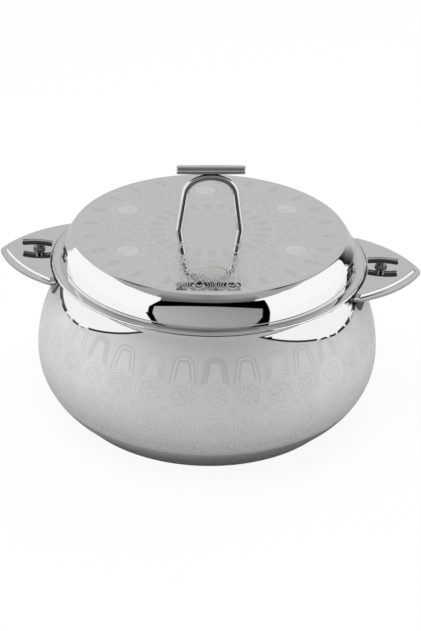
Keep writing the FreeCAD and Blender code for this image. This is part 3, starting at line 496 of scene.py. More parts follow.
def bellySteel():
    material, spot = newMaterial("etchedBellySteel")
    x, y, z = (part * 1000.0 for part in spot.split())
    radius = x.hypot(y)
    rise = z - pot["bellyHeight"]
    # s is the distance along the profile, up or down from the widest level
    upper, lower = (rise.angle(radius - (pot["bellyRadius"] - arc)) * arc
                    for arc in (pot["shoulderArc"], pot["lowerArc"]))
    s = upper.most(0.0) + lower.least(0.0)
    lean = abs(x).angle(abs(y)) * degrees
    step = 360 / belly["columns"]
    turn = y.angle(x) * (degrees / step) - belly["turnOfColumn"] / step
    pitch = radius * math.radians(step)
    column, gapColumn = turn.nearest(), (turn - 0.5).nearest()
    across, between = (turn - column) * pitch, (turn - 0.5 - gapColumn) * pitch
    full, golden = (column % 4.0).under(0.5, 0.1), (column % 4.0).inside(1.5, 2.5, 0.1)

    # a ring of arches with round tops and spreading legs, which fade towards the handles
    side = abs(across) - arches["half"] - (arches["top"] - s) * arches["spread"] + arches["round"]
    over = s - arches["top"] + arches["round"]
    arch = side.most(0.0).hypot(over.most(0.0)) + side.most(over).least(0.0) - arches["round"]
    size, band = medal["size"], arches["band"]
    rowOne, rowTwo = belly["rows"]
    outOne, outTwo = ((across * belly["squeeze"]).hypot(s - row) for row in belly["rows"])
    legs = s.over(*arches["legs"]) * outOne.over(size + 1.0, 0.8) \
        * (lean.under(*belly["fade"]) * 0.7 + 0.3)
    speck = lacework(across + column * 23.0, s, arches["speck"], 3.0)
    bandArea = arch.inside(-band, -0.2, 0.6)
    archDark = legs * (arch.lines(0.0, arches["outlines"]) * (1.0 - golden * 0.5)).most(
        bandArea * full * (speck * 0.12 + 0.72), bandArea * golden * speck.under(0.0, 0.8) * 0.7)
    archLight = legs * (arch.line(-band / 2, 0.5, 0.6) * (1.0 - full - golden)).most(
        arch.under(-band - 0.2, 0.8) * 0.45)
    archGold = arch.under(-1.0, 0.6) * golden * s.over(*arches["goldFoot"])

    # two rows of ringed medallions filled with scrolls, every fourth one of the upper row gilt
    ringLight, ringDark, ringFaint = (
        outOne.lines(size, medal[tone]).most(outTwo.lines(size, medal[tone]))
        for tone in ("light", "dark", "faint"))
    ringDark = ringDark.most(ringFaint * 0.6)
    insideTwo = outTwo.under(size - 2.4, 0.5)
    fill = outOne.under(size - 2.4, 0.5).most(insideTwo)
    scroll = lacework(across + column * 31.0, s, medal["scroll"], 8.0)
    sprig = lacework(across * 1.2 + column * 17.0, s * 0.8, medal["sprig"], 1.0)
    fillLight = fill * (scroll.over(0.45, 0.8) * sprig.over(-0.5, 0.8)).most(
        sprig.line(0.0, 0.15, 0.25) * 0.6)
    fillDark = fill * scroll.under(-0.2, 0.8) * sprig.over(-0.9, 0.6) * (1.0 - insideTwo * 0.35)
    medalGold = outOne.under(size - 0.6, 0.5) * full

    # the small fields between four medallions
    gap = outOne.over(size + 1.0, 0.5) * outTwo.over(size + 1.0, 0.5) \
        * s.inside(rowTwo, rowOne, 1.0)
    nest = outOne.line(size + 2.0, 0.25, 0.5).most(outTwo.line(size + 2.0, 0.25, 0.5)) * gap
    gapFourth = (gapColumn % 4.0).over(2.5, 0.1)
    gapHeart = between.hypot(s - (rowOne + rowTwo) / 2).under(*medal["gapHeart"])
    gapDark = gap * gapHeart * (1.0 - gapFourth)

    # lace border under the medallions: open gables, drops and a soft hem
    border = s.inside(lace["low"], lace["top"], 1.6) * outTwo.over(size + 0.8, 0.8)
    gable = abs(between) - (lace["top"] - s) * 0.5
    curls = lacework(abs(between), s, lace["curl"], 5.0)
    stripes = (across * (circle / lace["stripe"])).cos() * s.inside(*lace["stripes"]) \
        * outTwo.over(size + 1.6, 0.8)
    drops = across.hypot((s - lace["dropHeight"]) * 1.2)
    hemDark = border * (gable.line(*lace["gableDark"]) * 0.6).most(
        curls.over(0.35, 0.9) * 0.6, stripes * 0.7, drops.line(*lace["dropRing"]) * 0.5)
    hemLight = border * (gable.line(*lace["gableLight"]) * 0.7).most(
        curls.under(-0.5, 0.8) * 0.6, drops.under(*lace["dropHeart"]) * 0.5)

    # polished crescents on the shoulder beside the handles, with a dark outline
    onRight = x.over(0.0, 1.0)
    offset = lean - onRight * crescent["rightShift"] - crescent["middle"]
    inner, outer = (-offset).most(0.0), (offset - 1.0).most(0.0)
    low = crescent["low"] - onRight * crescent["rightDrop"]
    edge = inner * crescent["rise"] + inner * inner * crescent["bend"] \
        + outer * outer * crescent["outerBend"] + low
    beyond = lean.over(crescent["tip"], 1.0)
    crownStart, crownRise = crescent["crownLean"]
    crown = (lean - crownStart).most(0.0) * crownRise + crescent["crown"]
    ornament = 1.0 - s.inside(edge, crown, 0.6) * beyond
    outlined = s.line(edge, outer * 0.08 + crescent["line"], 0.4) * s.under(crown, 0.6) * beyond \
        * lean.under(crescent["end"], 1.0) * (1.0 - arch.inside(-2.2, 0.4, 0.3))
    # painted shadow of the rim: a dark line along the crescents' top and a dark line just under the
    # rim
    crownLine = s.line(crown, 0.3, 0.4) * s.over(edge, 0.4) * beyond * 0.7
    line = outlined.most(crownLine, s.line(*crescent["neckShadeLine"]))

    light = archLight.most(ringLight, fillLight * 0.75, nest, hemLight) * ornament
    dark = archDark.most(ringDark * 0.8, fillDark, gapDark * 0.3, hemDark * 0.8) * ornament
    gilt = archGold.most(medalGold, gap * gapFourth * 0.5) * ornament
    ground = s.inside(*belly["etched"]) * ornament

    grain, cloud = spot.noise(1400.0), spot.noise(30.0, 3.0)
    # painted light and shade: lighter on the shoulder and towards the front and the back, darker at
    # the foot
    lift = (s.over(*belly["shoulder"]) * 0.12 + s.over(5.0, 40.0) * lean.under(28.0, 50.0) * 0.08) \
        * ornament - s.under(*belly["foot"]) * 0.12
    tone = (light * 0.07 - dark * 0.10 + cloud * 0.02 + lift + belly["tone"]) * (1.0 - line * 0.97)
    colour = (gilt * (1.0 - fillDark * 0.6) * 0.6).blend(tone.asColour(), belly["gilt"])
    gloss = ground * belly["roughness"] + light.most(dark) * 0.05 + gilt * 0.03 \
        + (cloud + grain) * 0.02 + 0.02
    # the crescents dip a little under the rim, so that they mirror the bright sides
    wave = spot.noise(14.0, 1.0).bump(0.0008, 0.4)
    dipped = ((s - edge).most(0.0) * beyond).bump(crescent["dip"], 1.0, wave)
    relief = ((light - dark) * 0.5 + grain * 0.05).bump(0.00012, 0.3, dipped)
    return coat(material, colour, 1.0 - ground * (1.0 - belly["metallic"]), gloss, relief)


disc = {"petals": 24, "petalRadius": 46.5, "petalLong": 8.6, "petalWide": 4.4, "scallop": 55.4,
        "medals": 24, "medalRadius": 60.5, "medal": 6.2, "ovals": 6, "ovalRadius": 81.0,
        "oval": 9.4, "fans": 24, "fanRadius": 102.5, "fan": 13.0, "buds": 48, "budRadius": 111.5,
        "medalLines": ((0.0, 0.5, 0.5), (-1.9, 0.32, 0.5)),
        "collar": ((2.0, 0.45, 0.6), (4.2, 0.5, 0.6)),
        "fanLines": ((0.0, 0.3, 0.4), (-1.8, 0.3, 0.4), (-3.6, 0.3, 0.4),
                     (-5.6, 0.25, 0.4)),
        "tone": 0.81, "roughness": 0.28, "gilt": (0.96, 0.955, 0.935, 1.0)}
drop = {"foot": 10.5, "spread": 0.42, "top": 7.0, "scallop": 1.85, "crownLine": (0.6, 0.5, 0.5),
        "rayMeet": 13.0, "raySpread": 0.32, "rayZone": (4.0, 12.5, 1.0)}
bloom = {"petals": 6, "radius": 3.9, "eye": 0.28, "line": (0.35, 0.6)}


def lidSteel():
    material, spot = newMaterial("etchedLidSteel")
    x, y, z = (part * 1000.0 for part in turnedSpot(spot, lid["turn"]).split())
    radius, around = x.hypot(y), y.angle(x)
    top = z.over(lid["top"] - 0.4, 0.2)

    def cell(count, offset=0.0):
        turn = around * (count / circle) + offset
        return (turn - turn.nearest()) * (circle / count)

    def motif(count, distance, offset=0.0):
        # place in the nearest motif of a ring: across, outwards, and distance from its middle
        angle = cell(count, offset)
        across, up = radius * angle.sin(), radius * angle.cos() - distance
        return across, up, across.hypot(up)

    # ring of long petals round the plain middle, with a scalloped line outside them
    across, up, _ = motif(disc["petals"], disc["petalRadius"])
    petal = (across / disc["petalWide"]).hypot(up / disc["petalLong"])
    wave = (around * float(disc["petals"])).cos()
    petalFoot = disc["petalRadius"] - disc["petalLong"]
    petalZone = radius.inside(petalFoot - 3.5, disc["scallop"] + 2.0, 1.0)
    petalLight = petalZone * petal.line(1.16, 0.10, 0.12).most(
        (radius - wave * 1.2).line(disc["scallop"], 0.5, 0.6),
        (radius + wave * 0.8).line(petalFoot - 2.0, 0.4, 0.6))
    petalDark = petal.under(0.9, 0.6) * 0.5 * petalZone

    # ring of small medallions, with a ring of petals round an eye in each
    across, up, out = motif(disc["medals"], disc["medalRadius"])
    medalZone = out.under(disc["medal"] + 0.5, 0.5)
    reach = abs((across.angle(up) * (bloom["petals"] * 0.5)).cos()) * 0.4 + 0.55
    flower = out.line(reach * bloom["radius"], *bloom["line"]).most(
        out.line(bloom["radius"] * bloom["eye"], *bloom["line"]))
    medalLight = out.lines(disc["medal"], disc["medalLines"]).most(flower) * medalZone
    medalDark = out.under(disc["medal"] - 2.4, 0.5) * 0.5

    # six gilt ovals, each with a collar of lines and beads
    across, up, _ = motif(disc["ovals"], disc["ovalRadius"], 0.5)
    oval, size = (across * 0.96).hypot(up), disc["oval"]
    gold = oval.under(size, 0.9)
    goldLines = oval.line(size + 0.6, 0.4, 0.5).most(
        lacework(across, up, 8.0, 4.0).over(0.4, 0.8) * gold * 0.7)
    beads = oval.line(size + 6.4, 0.7, 0.7) * (across.angle(up) * 16.0).cos().over(0.0, 0.8)
    collar = oval.lines(size, disc["collar"]).most(beads)
    ovalZone = oval.under(size + 7.6, 0.8)

    # ring of round fans with nested lines, a drop with rays in each, leaf pairs and buds
    across, up, fan = motif(disc["fans"], disc["fanRadius"], 0.5)
    fanZone = radius.inside(disc["fanRadius"] - disc["fan"] - 0.5, disc["budRadius"] - 1.0, 0.8)
    flank = ((up + drop["foot"]) * drop["spread"]).least(drop["top"] - up) - abs(across)
    scallops = (across * drop["scallop"]).cos() * 0.9
    crownLine = (up - scallops).line(*drop["crownLine"]) * flank.over(0.4, 0.4)
    rays = (abs(across) - (drop["rayMeet"] - up) * drop["raySpread"]).line(0.0, 0.5, 0.5) \
        * up.inside(*drop["rayZone"])
    heart = (flank.over(0.5, 0.6) * (1.0 - crownLine)).most(rays)
    across, up, _ = motif(disc["fans"] * 2, disc["fanRadius"] - 1.0)
    blades = (across / 1.1).hypot(up / 7.0).under(0.85, 0.25)
    across, up, _ = motif(disc["fans"], disc["fanRadius"] - 13.5)
    corners = (abs(across) * 1.3 + abs(up)).line(3.6, 0.6, 0.6)
    fanLight = fanZone * (fan.lines(disc["fan"], disc["fanLines"]) * 0.8).most(
        flank.line(0.0, 0.4, 0.5), crownLine, corners)
    fanDark = fanZone * (blades * 0.5).most(heart)
    across, up, _ = motif(disc["buds"], disc["budRadius"], 0.5)
    buds = across.hypot(up * 0.7).under(1.5, 0.8) * radius.over(disc["budRadius"] - 2.4, 0.6)

    # leaf work fills what is left between petals and fans
    fold = abs(cell(12)) * radius
    leaf = lacework(radius * 0.55, fold, 5.5, 2.0)
    stem = lacework(radius * 0.6, fold * 1.2, 12.0, 7.0)
    leafZone = radius.inside(disc["scallop"] + 2.0, disc["fanRadius"] - 9.0, 2.0) \
        * (1.0 - medalZone) * (1.0 - ovalZone)
    leafLight = (leaf.over(0.35, 0.6) * 0.6).most(stem.line(0.0, 0.16, 0.25)) * leafZone
    leafDark = leaf.under(-0.35, 0.6) * leafZone * 0.5

    light = petalLight.most(medalLight, collar, fanLight, leafLight, buds) * top
    dark = petalDark.most(leafDark, goldLines, fanDark, medalDark) * (1.0 - light * 0.7) * top
    grain, cloud = spot.noise(1400.0), spot.noise(28.0, 3.0)
    # painted shade: a dark band under the bead and a thin dark line along the crease
    crease = radius.line(lid["creaseRadius"], 0.1, 0.2) \
        * z.inside(lid["flangeUnder"] + 0.4, lid["top"] - 20.0, 0.2)
    underBead = z.under(lid["flangeUnder"] - 0.1, 0.3) * radius.over(pot["rimRadius"], 1.0)
    beadAndCreaseShade = underBead.most(crease * 0.5)
    tone = (light * 0.07 - dark * 0.08 + cloud * 0.02 + disc["tone"]) * (1.0 - beadAndCreaseShade * 0.85)
    colour = (gold * top * (1.0 - goldLines * 0.5)).blend(tone.asColour(), disc["gilt"])
    gloss = light.most(gold * 0.9) * top * disc["roughness"] + (cloud + grain) * 0.015 + 0.012
    wave = spot.noise(20.0, 1.0).bump(0.0006, 0.35)
    return coat(material, colour, 1.0, gloss, (light - dark).bump(0.0001, 0.25, wave))


# Painted dark reflection streaks on the rods: the coordinate, its value in millimetres, half width
# and strength
rodReflections = {
    "rod": ((1, -3.1, 0.3, 0.7), (1, 3.1, 0.3, 0.7), (1, -1.5, 0.15, 0.5)),
    "grip": tuple((2, lid["top"] + height, halfWidth, share) for height, halfWidth, share in (
        (56.7, 0.3, 0.85), (58.1, 0.7, 0.35), (54.3, 0.9, 0.4), (52.3, 1.1, 0.9))),
    "bar": ((1, 1.7, 0.5, 0.9), (1, -0.7, 0.35, 0.85), (1, -2.6, 0.5, 0.9)),
}
finish = {
    "belly": bellySteel(),
    "lid": lidSteel(),
    "bowl": brushedSteel("brushedBowlSteel", 0.74, 0.20),
    "base": brushedSteel("satinBaseSteel", 0.60, 0.30),
    "plate": polishedSteel("polishedPlateSteel", 0.80, 0.03, slopeShadeLines=(4.55, 6.2)),
    "rod": polishedSteel("polishedRodSteel", 0.80, 0.03, paintedReflections=rodReflections["rod"],
                         turn=lid["turn"]),
    "grip": polishedSteel("polishedGripSteel", 0.78, 0.03, paintedReflections=rodReflections["grip"]),
    # painted shade: the latch posts get a much darker copy of the rod steel, standing in for the
    # dark they mirror
    "post": polishedSteel("darkPostSteel", 0.22, 0.05),
    # painted shade: the under sheets beneath the wings are a darker copy of the plate steel
    "sheet": polishedSteel("darkSheetSteel", 0.36, 0.05),
    # painted shade: the latch bars are a little darker than the other rod steel
    "bar": polishedSteel("polishedBarSteel", 0.70, 0.04, paintedReflections=rodReflections["bar"]),
    **{key: plainMaterial(look) for key, look in plainLooks.items()},
}
print("materials built:", ", ".join(finish))


# The pot's body
body = {"corner": 35.0, "floor": 18.0, "ringWidth": 15.5, "recess": 2.0, "slope": 3.0, "hole": 8.0,
        "lap": 3.0, "gap": 0.05, "bend": 0.35, "rimBend": 0.38}
plug = {"head": 9.8, "neck": 7.95, "under": 1.0, "shelf": 2.0, "top": 5.0, "bend": 0.3}


def makeBody():
    wall, rim, foot, neck = pot["wall"], pot["rimHeight"], pot["footHeight"], pot["neckRadius"]
    belt, widest = pot["bellyHeight"], pot["bellyRadius"]
    shoulderArc, lowerArc = pot["shoulderArc"], pot["lowerArc"]
    under, lip = rim - wall, pot["rimRadius"] - wall * 0.5
    shell = outline([
        (lowerRadius(foot), foot, "left", lowerArc), (widest, belt, "left", shoulderArc),
        (neck, shoulderHeight(neck)), (neck, under - wall), (lip, under - wall), (lip, under),
        (neck - wall, under),
        (neck - wall, shoulderHeight(neck - wall, shoulderArc - wall), "right", shoulderArc - wall),
        (widest - wall, belt, "right", lowerArc - wall),
        (lowerRadius(foot, lowerArc - wall), foot),
    ])
    piece = turnedPiece("outerShell", supported(soften(shell, body["bend"])), finish["belly"])
    handOver(piece, "pot_body", "shell_steel", "outer_shell")

    corner, floor, bowl = body["corner"], body["floor"], pot["bowlRadius"]
    dish = outline([
        (0, floor), (0, floor - wall), (bowl - corner, floor - wall, "left", corner + wall),
        (bowl + wall, floor + corner), (bowl + wall, under), (pot["rimRadius"], under),
        (pot["rimRadius"], rim), (bowl, rim), (bowl, floor + corner, "right", corner),
        (bowl - corner, floor),
    ], 3.0)
    piece = turnedPiece("innerBowl", supported(soften(dish, body["rimBend"])), finish["bowl"])
    handOver(piece, "pot_body", "bowl_steel", "inner_bowl")

    base, hole, recess = pot["baseRadius"], body["hole"], body["recess"]
    ringInside = base - body["ringWidth"]
    fieldEdge = ringInside - body["slope"]
    lap, lapTop = lowerRadius(foot, lowerArc - wall) - body["gap"], foot + body["lap"]
    cap = outline([
        (hole, recess), (fieldEdge, recess), (ringInside, 0), (base, 0),
        (lowerRadius(foot), foot - body["gap"]), (lap, foot - body["gap"]), (lap, lapTop),
        (lap - wall, lapTop), (lap - wall, foot - wall), (base - wall, wall),
        (ringInside + wall * 0.5, wall), (fieldEdge + wall * 0.5, recess + wall),
        (hole, recess + wall),
    ])
    piece = turnedPiece("baseCap", supported(soften(cap, body["bend"])), finish["base"])
    handOver(piece, "pot_body", "base_steel", "base_cap")

    stopper = [(0, plug["under"]), (plug["head"], plug["under"]), (plug["head"], plug["shelf"]),
               (plug["neck"], plug["shelf"]), (plug["neck"], plug["top"]), (0, plug["top"])]
    piece = turnedPiece("fillingPlug", soften(stopper, plug["bend"]), finish["plastic"], 48)
    handOver(piece, "pot_body", "plug_plastic", "filling_plug")


makeBody()
print("body made")


# The lid
liner = {"depth": 10.0, "gap": 0.05, "bend": 0.38}
seal = {"gap": 0.05, "bowlGap": 0.3, "seat": 0.1, "height": 4.0, "lipLow": 2.5, "lipHigh": 1.5,
        "bend": 0.3}


def makeLid():
    wall, under = pot["wall"], lid["flangeUnder"]
    top, ceiling, flange = lid["top"], lid["top"] - wall, under + wall
    axis, bead, height = lid["beadAxis"], lid["beadRadius"], under + wall * 0.25
    topReach = math.sqrt(bead ** 2 - (flange - height) ** 2)
    underReach = math.sqrt(bead ** 2 - (height - under) ** 2)
    crease, edge = lid["creaseRadius"], lid["discRadius"]
    shell = outline([
        (0, ceiling), (edge - wall * 0.5, ceiling, "right", lid["arc"] - wall),
        (crease - wall, flange), (crease - wall, under), (axis - underReach, under, "left", bead),
        (axis + bead, height, "left", bead), (axis - topReach, flange),
        (crease, flange, "left", lid["arc"], 0.5), (edge, top), (0, top),
    ], 6.0)
    # the disc's edge is rounder than the other bends
    rim = (edge, top)
    shell = [p for p in shell if p == rim or math.dist(p, rim) > lid["discEdge"] * 2.4]
    shell = soften(shell, 0.3, 15.0, wide={rim: lid["discEdge"],
                                           (crease, flange): lid["creaseEdge"]})
    piece = turnedPiece("lidShell", supported(shell), finish["lid"])
    handOver(piece, "lid", "lid_steel", "lid_shell")

    side, bottom = pot["linerRadius"], under - liner["depth"]
    ledge = crease - wall - liner["gap"]
    dish = [(0, bottom), (side, bottom), (side, under), (ledge, under), (ledge, flange),
            (side - wall, flange), (side - wall, bottom + wall), (0, bottom + wall)]
    piece = turnedPiece("lidLiner", supported(soften(dish, liner["bend"])), finish["bowl"], 192)
    handOver(piece, "lid", "bowl_steel", "lid_liner")

    inside, lip = side + seal["gap"], pot["bowlRadius"] - seal["bowlGap"]
    seat = under - seal["seat"]
    band, foot = (inside + lip) / 2, seat - seal["height"]
    low, high = seat - seal["lipLow"], seat - seal["lipHigh"]
    ring = [(inside, foot), (band, foot), (band, low), (lip, low), (lip, high), (band, high),
            (band, seat), (inside, seat)]
    piece = turnedPiece("lidSeal", soften(ring, seal["bend"]), finish["rubber"], 192)
    handOver(piece, "lid", "silicone", "lid_seal")


makeLid()
print("lid made")


# The hoop and its cross bar
hoop = {"foot": 26.3, "height": 48.8, "topSpan": 19.3, "topArc": 29.0, "corner": 14.5, "wire": 3.1,
        "sunk": 1.0}
grip = {"length": 58.0, "middle": 4.0, "end": 3.7, "chamfer": 0.8, "seat": 0.3, "bend": 0.3}


def turnLid(x, y, z):
    angle = math.radians(lid["turn"])
    return (x * math.cos(angle) - y * math.sin(angle), x * math.sin(angle) + y * math.cos(angle), z)


def makeHoop():
    height, arc, corner, foot = hoop["height"], hoop["topArc"], hoop["corner"], hoop["foot"]
    lean = foot - hoop["topSpan"]
    legLength = math.hypot(height, lean)
    leanCos, leanSin = height / legLength, lean / legLength
    # where the wide arc at the top meets the tighter bend, and where that meets the leg
    centre, inner = height - arc, arc - corner
    bendSin = (foot * leanCos - centre * leanSin - corner) / inner
    bendCos = math.sqrt(1 - bendSin ** 2)
    archSin = bendSin * leanCos - bendCos * leanSin
    archCos = bendCos * leanCos + bendSin * leanSin
    crown, arcEnd = (0, height), (arc * archSin, centre + arc * archCos)
    bendEnd = (inner * archSin + corner * leanCos, centre + inner * archCos + corner * leanSin)
    end = (foot + leanSin / leanCos * hoop["sunk"], -hoop["sunk"])
    half = [crown, *arcRun(crown, arcEnd, arc, "right", 3.0), arcEnd,
            *arcRun(arcEnd, bendEnd, corner, "right", 5.0), bendEnd]
    half += [(bendEnd[0] + (end[0] - bendEnd[0]) * t, bendEnd[1] + (end[1] - bendEnd[1]) * t)
             for t in (0.05, 0.5, 1.0)]
    path = [(-x, z) for x, z in reversed(half[1:])] + half
    chain = [tuple(v * mm for v in turnLid(x, 0.0, lid["top"] + z)) for x, z in path]
    piece = chainObject("lidHoop", chain, [1.0] * len(chain))
    grow(piece, "swept", {"Sides": 40, "Thickness": hoop["wire"] * mm,
                          "Material": finish["rod"]}, 50.0)
    # the feet are cut level with the disc, along the lean of each leg
    for vertex in piece.data.vertices:
        below = lid["top"] * mm - vertex.co.z
        if below > 0:
            side = 1 if vertex.co.x > 0 else -1
            vertex.co += Vector(turnLid(-side * leanSin / leanCos, 0, 1)) * below
    piece.data.set_sharp_from_angle(angle=math.radians(40))
    handOver(piece, "lid", "rod_steel", "lid_hoop")

    halfGrip, end, middle = grip["length"] / 2, grip["end"], grip["middle"]
    chamfer = grip["chamfer"]
    shoulder, bulge = halfGrip - chamfer, middle - end
    barrel = (shoulder ** 2 + bulge ** 2) / (2 * bulge)
    section = outline([(0, -halfGrip), (end - chamfer, -halfGrip), (end, -shoulder, "left", barrel),
                       (end, shoulder), (end - chamfer, halfGrip), (0, halfGrip)], 0.2)
    axisHeight = lid["top"] + height + middle + hoop["wire"] - grip["seat"]
    piece = turnedPiece("lidGripBar", soften(section, grip["bend"], closed=False),
                        finish["grip"], 64, (0.0, math.radians(90), math.radians(lid["turn"])),
                        (0, 0, axisHeight), closed=False)
    handOver(piece, "lid", "rod_steel", "lid_grip_bar")


makeHoop()
print("hoop and cross bar made")


# Wing handles, as rings of points that run from the hole's lower edge out, over the edge and back.
# Each has an inset of tip and sides, an inset of the foot towards the lid, and a height.
wingEdge = ((0.5, 0.0), (0.2, 0.03), (0.05, 0.14), (0.0, 0.32))
wingUnder = ((9.0, 5.0, 2.4), (7.5, 4.1, 2.4), (7.1, 3.8, 2.28), (5.5, 2.4, 0.1), (5.2, 2.2, 0.0))
wingSlope = ((3.6, 0.9, 0.0), (4.1, 1.1, 0.03), (4.45, 1.3, 0.14), (4.7, 1.5, 0.36),
             (4.87, 1.66, 0.6), (5.77, 2.46, 1.86), (5.92, 2.6, 2.06), (6.12, 2.8, 2.25),
             (6.42, 3.05, 2.36), (6.9, 3.4, 2.4), (8.6, 4.6, 2.4))
noLine = 9.0
sideTurn = {"left": -1, "right": 1}


def wingOutline(inset, baseInset, sideArc):
    # right-hand wing, with the same number of points at every inset
    tipRound = wing["tipRound"] - inset * 0.75
    corner = wing["cornerRound"] - inset * 0.4
    base = pot["rimRadius"] + wing["baseGap"] + baseInset
    tipX = pot["rimRadius"] + wing["reach"] - inset - tipRound
    cornerY = wing["halfWidth"] - inset - corner
    cornerX = math.sqrt((base + corner) ** 2 - cornerY ** 2)
    gapX = cornerX - tipX
    gap = math.hypot(gapX, cornerY)
    toTip, toCorner = sideArc - tipRound, sideArc - corner
    along = (toTip ** 2 - toCorner ** 2 + gap ** 2) / (2 * gap)
    off = math.sqrt(toTip ** 2 - along ** 2)
    sideX = tipX + (gapX * along - cornerY * off) / gap
    sideY = (cornerY * along + gapX * off) / gap
    tip = (sideX + (tipX - sideX) * sideArc / toTip, sideY - sideY * sideArc / toTip)
    bend = (sideX + (cornerX - sideX) * sideArc / toCorner,
            sideY + (cornerY - sideY) * sideArc / toCorner)
    foot = (cornerX * base / (base + corner), cornerY * base / (base + corner))
    lowTip, lowBend, lowFoot = ((x, -y) for x, y in (tip, bend, foot))
    return roundRun((tipX, 0), tipRound, lowTip, tip, 1, 20) \
        + roundRun((sideX, sideY), sideArc, tip, bend, 1, 30) \
        + roundRun((cornerX, cornerY), corner, bend, foot, 1, 14) \
        + roundRun((0, 0), base, foot, lowFoot, -1, 40) \
        + roundRun((cornerX, -cornerY), corner, lowFoot, lowBend, 1, 14) \
        + roundRun((sideX, -sideY), sideArc, lowBend, lowTip, 1, 30)


def ringedPlate(name, rings, material, turn):
    # every point of the plate's top remembers its inset, for the finish's painted dark shade lines
    work = bmesh.new()
    depth = work.verts.layers.float.new("inset")

    def addLoop(points, height, inset):
        loop = [work.verts.new((x * turn * mm, y * turn * mm, height * mm)) for x, y in points]
        for vertex in loop:
            vertex[depth] = inset
        return loop

    def joinLoops(lower, upper):
        for i in range(len(lower)):
            j = (i + 1) % len(lower)
            work.faces.new((lower[i], lower[j], upper[j], upper[i]))

    loops = [addLoop(wingOutline(inset, baseInset, sideArc), height,
                     inset if number >= len(wingUnder) else noLine)
             for number, (inset, baseInset, sideArc, height) in enumerate(rings)]
    for lower, upper in zip(loops, loops[1:]):
        joinLoops(lower, upper)
    round48 = [(wing["pivot"] + wing["hole"] * math.cos(circle * i / 48),
                wing["hole"] * math.sin(circle * i / 48)) for i in range(48)]
    holes = [addLoop(round48, ring[3], noLine) for ring in (rings[0], rings[-1])]
    joinLoops(*holes)
    for loop, hole in ((loops[0], holes[0]), (loops[-1], holes[1])):
        for triangle in geometry.tessellate_polygon([[v.co for v in loop], [v.co for v in hole]]):
            work.faces.new([(loop + hole)[i] for i in triangle])
    mesh = bpy.data.meshes.new(name)
    intoMesh(work, mesh)
    mesh.materials.append(material)
    piece = placed(name, mesh)
    finishMesh(piece, 40.0)
    return piece


def makeWings():
    low = wing["under"] + wing["sheet"]
    top = low + wing["sheet"]
    border, field = wing["sideArc"], wing["fieldSideArc"]
    rings = [(inset, baseInset, field, low + lift) for inset, baseInset, lift in wingUnder]
    rings += [(inset, inset, border, low + lift) for inset, lift in wingEdge]
    rings += [(inset, inset, border, top - lift) for inset, lift in reversed(wingEdge)]
    rings += [(inset, baseInset, field, top + lift) for inset, baseInset, lift in wingSlope]
    for side, turn in sideTurn.items():
        piece = ringedPlate(f"{side}WingPlate", rings, finish["plate"], turn)
        handOver(piece, "pot_body", "plate_steel", f"{side}_handle_plate")


makeWings()
print("wing plates made")


# Copies of flat CAD sheets and brackets, with their edges broken
def edgedCopy(name, node, material, slotName, width):
    mesh = cadNodes[node].data.copy()
    mesh.materials.clear()
    mesh.materials.append(material)
    piece = placed(name, mesh)
    finishMesh(piece, 30.0)
    work = bmesh.new()
    work.from_mesh(mesh)
    bmesh.ops.dissolve_limit(work, angle_limit=math.radians(0.5), verts=work.verts,
                             edges=work.edges)
    intoMesh(work, mesh)
    bevel = piece.modifiers.new("brokenEdges", "BEVEL")
    bevel.width = width * mm
    bevel.segments = 2
    bevel.limit_method = "ANGLE"
    bevel.angle_limit = math.radians(35)
    bevel.harden_normals = True
    handOver(piece, "pot_body", slotName, node)


for side in sideTurn:
    edgedCopy(f"{side}UnderSheet", f"{side}_handle_underplate", finish["sheet"], "plate_steel", 0.2)
    edgedCopy(f"{side}Bracket", f"{side}_handle_bracket", finish["bracket"], "plain_steel", 0.3)
print("under sheets and brackets made")


# Turn latches
latch = {"barRadius": 2.8, "bow": 77.0, "chamfer": 0.6, "lift": 3.8, "outerArm": 15.0,
         "innerEnd": 136.25, "stem": 3.5, "collar": 5.4, "collarHeight": 1.1, "waist": 4.2,
         "socket": 2.0, "socketDepth": 6.0, "gap": 0.1, "washers": 1.3, "bend": 0.25}


def makeLatch(side, turn):
    plateau = wing["under"] + wing["sheet"] * 2 + wing["rise"]
    radius, bow = latch["barRadius"], latch["bow"]
    axisHeight = plateau + latch["lift"] + radius
    outerEnd = wing["pivot"] + latch["outerArm"]
    middle, half = (latch["innerEnd"] + outerEnd) / 2, (outerEnd - latch["innerEnd"]) / 2
    reach, cut = math.asin(half / (bow + radius)), latch["chamfer"] / bow
    straight, worn = reach - cut, 1 - latch["chamfer"] / radius
    angles = [-reach, *(-straight + 2 * straight * i / 24 for i in range(25)), reach]
    chain = [((middle + bow * math.sin(a)) * mm * turn, 0.0,
              (axisHeight - bow + bow * math.cos(a)) * mm) for a in angles]
    piece = chainObject(f"{side}LatchBar", chain, [worn] + [1.0] * 25 + [worn])
    grow(piece, "swept", {"Sides": 40, "Thickness": radius * mm, "Material": finish["bar"]}, 25.0)
    handOver(piece, f"{side}_latch", "rod_steel", f"{side}_latch_bar")

    bottom = wing["under"] - latch["washers"] - plateau
    saddle = latch["lift"] + radius * 0.8
    stem, collar, waist, socket = latch["stem"], latch["collar"], latch["waist"], latch["socket"]
    foot, socketTop = latch["gap"], bottom + latch["socketDepth"]
    post = [(socket, bottom), (stem, bottom), (stem, foot), (collar, foot),
            (collar, foot + latch["collarHeight"]), (waist, foot + latch["collarHeight"] * 1.6),
            (waist, saddle), (0, saddle), (0, socketTop), (socket, socketTop)]
    piece = turnedPiece(f"{side}LatchBoss", soften(post, latch["bend"]), finish["post"], 64,
                        place=(wing["pivot"] * turn, 0, plateau))
    handOver(piece, f"{side}_latch", "rod_steel", f"{side}_latch_boss")


for side, turn in sideTurn.items():
    makeLatch(side, turn)
print("latches made")


# Rivets, two to a handle, as rows of domed heads, shanks and flat heads through plate and bracket
rivet = {"inset": 1.5, "spread": 11.0, "head": 3.4, "headHeight": 0.5, "dome": 0.45, "shank": 2.0,
         "tail": 1.0, "bracket": 2.05}


